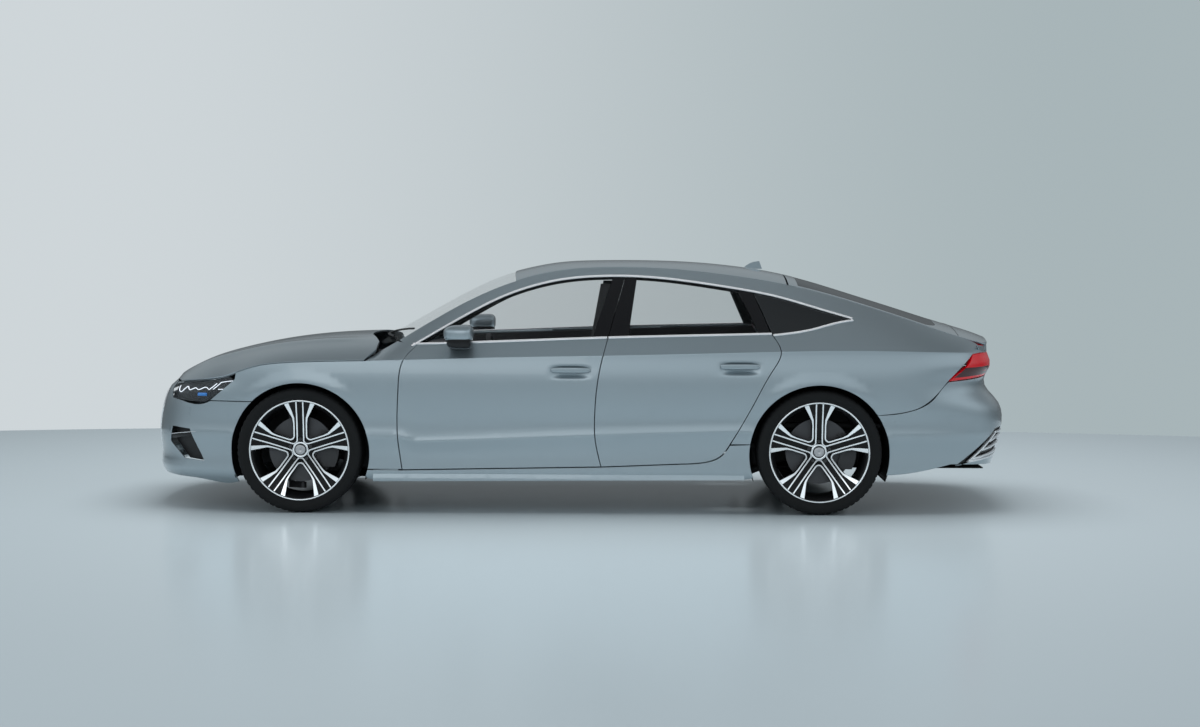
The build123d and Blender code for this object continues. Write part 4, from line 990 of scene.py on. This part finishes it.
wheel_parts = [("spokes", polished, POLISHED), ("pockets", black_face, ALLOY_BLACK), ("tyre_skin", tyre_part, RUBBER),
               ("lip", lip_part, POLISHED), ("barrel", barrel_part, ALLOY_BLACK), ("hub", hub_part, ALLOY_BLACK),
               ("cap", cap_part, STEEL), ("bolts", bolts, DARK_STEEL), ("hub_ring", ring_part, POLISHED)]
for end, axle in ENDS:
    for piece, (v, f, n), material in wheel_parts:
        node = f"tyre_{end}_left" if piece == "tyre_skin" else f"rim_{end}_left"
        placed = v + [axle, TRACK[end] / 2, TYRE_RADIUS]
        put_pieces(f"{piece}_{end}_left", (placed, f, n), f"{end}_left_wheel", material, node, pair=True)


def shell_arrays(grid, thick):
    """Closed shell from a grid of points: the grid, its copy set back along the normals, and four edge strips."""
    g = np.array(grid, float)
    normal = unit(np.cross(np.gradient(g, axis=0), np.gradient(g, axis=1)))
    rows, cols = g.shape[:2]
    verts = np.vstack([g.reshape(-1, 3), (g - normal * thick).reshape(-1, 3)])
    ids = np.arange(rows * cols).reshape(rows, cols)
    face = np.stack([ids[:-1, :-1], ids[1:, :-1], ids[1:, 1:], ids[:-1, 1:]], -1).reshape(-1, 4)
    rim = np.r_[ids[0, :], ids[1:, -1], ids[-1, -2::-1], ids[-2:0:-1, 0]]
    edge = np.c_[rim, np.roll(rim, -1), np.roll(rim, -1) + rows * cols, rim + rows * cols]
    return verts, face.tolist() + (face[:, ::-1] + rows * cols).tolist() + edge.tolist(), []


# Wheel housings and trays under the car
HOUSING_RADIUS = 401
HOUSING_INNER = {"front": 520, "rear": 560}
for end, axle in ENDS:
    deep = HOUSING_INNER[end]
    a, share = np.meshgrid(np.radians(np.linspace(-22, 202, 60)), np.linspace(0, 1, 8), indexing="ij")
    x, z = axle + HOUSING_RADIUS * np.cos(a), ARCH_HEIGHT + HOUSING_RADIUS * np.sin(a)
    y = deep + share * (side_skin(x, np.maximum(z, 230))[..., 1] - 5 - deep)
    put_pieces(f"wheel_housing_{end}_left", shell_arrays(np.stack([x, y, z], -1), -4), "body", BLACK, "arch_liners",
               pair=True)
    x, z = axle + share * (x - axle), ARCH_HEIGHT + share * (z - ARCH_HEIGHT)
    put_pieces(f"wheel_wall_{end}_left", shell_arrays(np.stack([x, deep + 0 * x, z], -1), 4), "body", BLACK,
               "arch_liners", pair=True)


def slab(name, x, y, z, material, replaces="", pair=False):
    """Plain board on the body between two corners."""
    corners = np.array([(a, b, c) for a in x for b in y for c in z], float)
    faces = [(0, 1, 3, 2), (4, 6, 7, 5), (0, 4, 5, 1), (2, 3, 7, 6), (0, 2, 6, 4), (1, 5, 7, 3)]
    put_pieces(name, (corners, faces, []), "body", material, replaces, pair)


slab("tray_front", (1120, 2330), (-470, 470), (158, 163), BLACK)
slab("tray_rear", (-2330, -980), (-600, 600), (236, 242), BLACK)

# Cabin: door cards and roof trim
CARD_SHARE = 0.965


def card_skin(x, z):
    """Door card: flat, swelling into an arm rest at mid height."""
    swell = 26 * np.exp(-((z - 640) / 60)**4) + 14 * np.exp(-((z - 380) / 90)**4)
    return np.stack([x, DOOR_INNER - 4 - swell + 0 * x, z], -1)


for which, runs in (("front", front_door_runs), ("rear", rear_door_runs)):
    ring = loop_of(runs, 30)
    card = polygon(*map(tuple, ring.mean(0) + (ring - ring.mean(0)) * CARD_SHARE))
    panel(f"door_card_{which}_left", card_skin, card, f"{which}_left_door", CABIN, pair=True, thick=4, spacing=40,
          facing=(0, -1, 0))
rail_low, rail_high = line_points(window_top_z, 930, -1500, 60, 2), line_points(rail_z, -1500, 960, 60, -14)
panel("cant_trim_left", side_skin, [rail_low, [rail_low[-1], rail_high[0]], rail_high], "body", CABIN, pair=True,
      thick=22, spacing=60, lift=-10)


# Mirrors, handles and seats
def bent(w, power):
    """A sine or cosine raised to a power, with its sign kept."""
    return np.sign(w) * np.abs(w)**power


def rounded(name, centre, radii, power, body, material, replaces="", pair=True, tail=1.0, lean=0, rows=22, cols=40):
    """Rounded block: a sphere's angles with their sines and cosines raised to a power, stretched to three radii,
    flattened at the back by the tail share and leant back by an angle in degrees."""
    lat = np.linspace(-np.pi / 2, np.pi / 2, rows + 2)[1:-1, None]
    lon = np.linspace(0, 2 * np.pi, cols, endpoint=False)[None]
    girth = bent(np.cos(lat), power)
    x, y = girth * bent(np.cos(lon), power), girth * bent(np.sin(lon), power)
    v = np.stack([x, y, bent(np.sin(lat), power) + 0 * lon], -1).reshape(-1, 3)
    v = np.vstack([v, [[0, 0, -1], [0, 0, 1]]]) * radii
    v[:, 0] *= np.where(v[:, 0] < 0, tail, 1.0)
    c, s = math.cos(math.radians(lean)), math.sin(math.radians(lean))
    v = v @ np.array([[c, 0, s], [0, 1, 0], [-s, 0, c]]) + centre
    i, j = np.meshgrid(np.arange(rows - 1), np.arange(cols), indexing="ij")
    j2 = (j + 1) % cols
    faces = np.stack([i * cols + j, i * cols + j2, (i + 1) * cols + j2, (i + 1) * cols + j], -1).reshape(-1, 4).tolist()
    k = np.arange(cols)
    faces += np.c_[np.full(cols, rows * cols), (k + 1) % cols, k].tolist()
    faces += np.c_[np.full(cols, rows * cols + 1), (rows - 1) * cols + k, (rows - 1) * cols + (k + 1) % cols].tolist()
    return put_pieces(name, (v, faces, []), body, material, replaces, pair)


rounded("mirror_cap_left", (628, 984, 1014), (118, 96, 50), 0.66, "front_left_door", PAINT, "mirror_left", tail=0.42)
rounded("mirror_shell_left", (626, 984, 974), (104, 91, 46), 0.6, "front_left_door", GLOSS_BLACK, "mirror_left",
        tail=0.4)
rounded("mirror_foot_left", (668, 925, 942), (52, 58, 20), 0.7, "front_left_door", BLACK, "mirror_left")
for which, (hx, hz) in HANDLES.items():
    y = float(side_skin(np.array([hx]), np.array([hz]))[0, 1])
    rounded(f"handle_{which}_left", (hx, y + 4, hz + 6), (112, 12, 15), 0.5, f"{which}_left_door", PAINT)


def pad(name, centre, radii, replaces, power=0.42, lean=0):
    """Stuffed piece, or a pair of them."""
    for obj in rounded(name, centre, radii, power, "body", HIDE, replaces, pair="left" in name, lean=lean):
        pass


slab("seat_base_left", (60, 440), (200, 540), (222, 335), CABIN, "front_seats", pair=True)
pad("front_cushion_left", (255, 370, 402), (258, 205, 68), "front_seats")
for k, y in enumerate((176, 564)):
    pad(f"cushion_bolster_{k}_left", (250, y, 418), (235, 38, 62), "front_seats", 0.6)
    pad(f"back_bolster_{k}_left", (-100, y, 650), (62, 38, 230), "front_seats", 0.6, lean=22)
pad("front_back_left", (-124, 370, 676), (52, 200, 280), "front_seats", lean=22)
pad("front_head_rest_left", (-240, 370, 1000), (42, 128, 74), "front_seats", 0.55, lean=22)
for k, y in enumerate((-410, 0, 410)):
    pad(f"rear_cushion_{k}", (-752, y, 432), (228, 198, 46), "rear_seat")
    pad(f"rear_back_{k}", (-1088, y, 655), (50, 198, 205), "rear_seat", lean=28)
for k, y in enumerate((-400, 400)):
    pad(f"rear_head_rest_{k}", (-1205, y, 862), (36, 120, 52), "rear_seat", 0.55, lean=28)


# Camera of the photograph
POSITION = Vector((-0.2997, 13.1626, 1.5091))
YAW, PITCH, ROLL = math.radians(0.8103), math.radians(3.0898), math.radians(0.2106)
FOCAL, PHOTO_WIDTH, SENSOR = 2184.75, 1200, 36.0
forward = Vector((math.sin(YAW) * math.cos(PITCH), -math.cos(YAW) * math.cos(PITCH), -math.sin(PITCH)))
level = forward.cross(Vector((0, 0, 1))).normalized()
upward = level.cross(forward)
right = level * math.cos(ROLL) + upward * math.sin(ROLL)
up = upward * math.cos(ROLL) - level * math.sin(ROLL)
camera = bpy.data.objects.new("camera", bpy.data.cameras.new("camera"))
camera.data.sensor_width = SENSOR
camera.data.lens = FOCAL / PHOTO_WIDTH * SENSOR
camera.matrix_world = Matrix(((right.x, up.x, -forward.x, POSITION.x), (right.y, up.y, -forward.y, POSITION.y),
                              (right.z, up.z, -forward.z, POSITION.z), (0, 0, 0, 1)))
bpy.context.scene.collection.objects.link(camera)
bpy.context.scene.camera = camera

# Studio: pale oval floor, soft light
FLOOR_MIDDLE, FLOOR_RADII, FLOOR_SIDES = (0, 4.2, -0.0005), (13, 9.2), 96
floor_finish = Finish("studio_floor", base_color=(0.60, 0.69, 0.735), roughness=0.2)
floor_mesh = bpy.data.meshes.new("studio_floor")
a = np.linspace(0, 2 * math.pi, FLOOR_SIDES, endpoint=False)
ring = np.c_[FLOOR_RADII[0] * np.cos(a), FLOOR_RADII[1] * np.sin(a), 0 * a] + FLOOR_MIDDLE
floor_mesh.from_pydata(ring.tolist(), [], [tuple(range(FLOOR_SIDES))])
floor_mesh.materials.append(floor_finish.material)
studio_floor = bpy.data.objects.new("studio_floor", floor_mesh)
bpy.context.scene.collection.objects.link(studio_floor)

world = bpy.data.worlds.new("studio")
bpy.context.scene.world = world
world.use_nodes = True
sky = Nodes(world.node_tree)


def ramp(value, start, end, first, last):
    """Smooth step of a value between two numbers."""
    return sky.node("ShaderNodeMapRange", {"interpolation_type": "SMOOTHSTEP"},
                    {0: value, 1: start, 2: end, 3: first, 4: last})


def shine(colour, strength):
    """Light from all round, of a colour and a strength."""
    return sky.node("ShaderNodeBackground", {}, {0: colour, 1: strength})


def chosen(ray, without, with_it):
    """One light for rays of a kind and another for the rest."""
    return sky.node("ShaderNodeMixShader", {}, {0: sky.node("ShaderNodeLightPath", output=ray), 1: without, 2: with_it})


toward = sky.node("ShaderNodeTexCoord", output="Generated")
x_way, y_way, z_way = (sky.node("ShaderNodeSeparateXYZ", {}, {0: toward}, axis) for axis in "XYZ")
height_glow = ramp(z_way, -0.02, 0.3, 0.5, 1.3) * ramp(z_way, 0.42, 0.85, 1.0, 0.2)
glow = shine((0.78, 0.87, 0.92), height_glow * ramp(y_way, -0.5, 0.3, 0.3, 0.95))
soft_glow = shine((0.80, 0.86, 0.90), ramp(z_way, 0.0, 0.6, 0.03, 0.4))
wall_tone = sky.node("ShaderNodeMix", {"data_type": "RGBA"},
                     {0: ramp(x_way, -0.22, 0.26, 0.0, 1.0), 6: (0.39, 0.46, 0.48), 7: (0.62, 0.67, 0.695)}, 2)
wall = shine(wall_tone, 1.0)
sky.give(sky.tree.nodes["World Output"].inputs[0],
         chosen("Is Camera Ray", chosen("Is Diffuse Ray", glow, soft_glow), wall))


def soft_light(name, place, aim, size, power, mirrored_in_paint=True):
    """Square area light at a place, facing a point."""
    lamp = bpy.data.lights.new(name, "AREA")
    lamp.shape, lamp.size, lamp.energy = "SQUARE", size, power
    obj = bpy.data.objects.new(name, lamp)
    obj.location = place
    obj.rotation_euler = (Vector(aim) - Vector(place)).to_track_quat("-Z", "Y").to_euler()
    obj.visible_glossy = mirrored_in_paint
    bpy.context.scene.collection.objects.link(obj)


soft_light("top_light", (0.0, -0.8, 7.5), (0, 0.9, 0), 7.0, 640, mirrored_in_paint=False)
soft_light("side_light", (2.0, 9.0, 4.0), (0, 0, 0.6), 4.0, 30)
bpy.context.scene.view_settings.view_transform = "Standard"
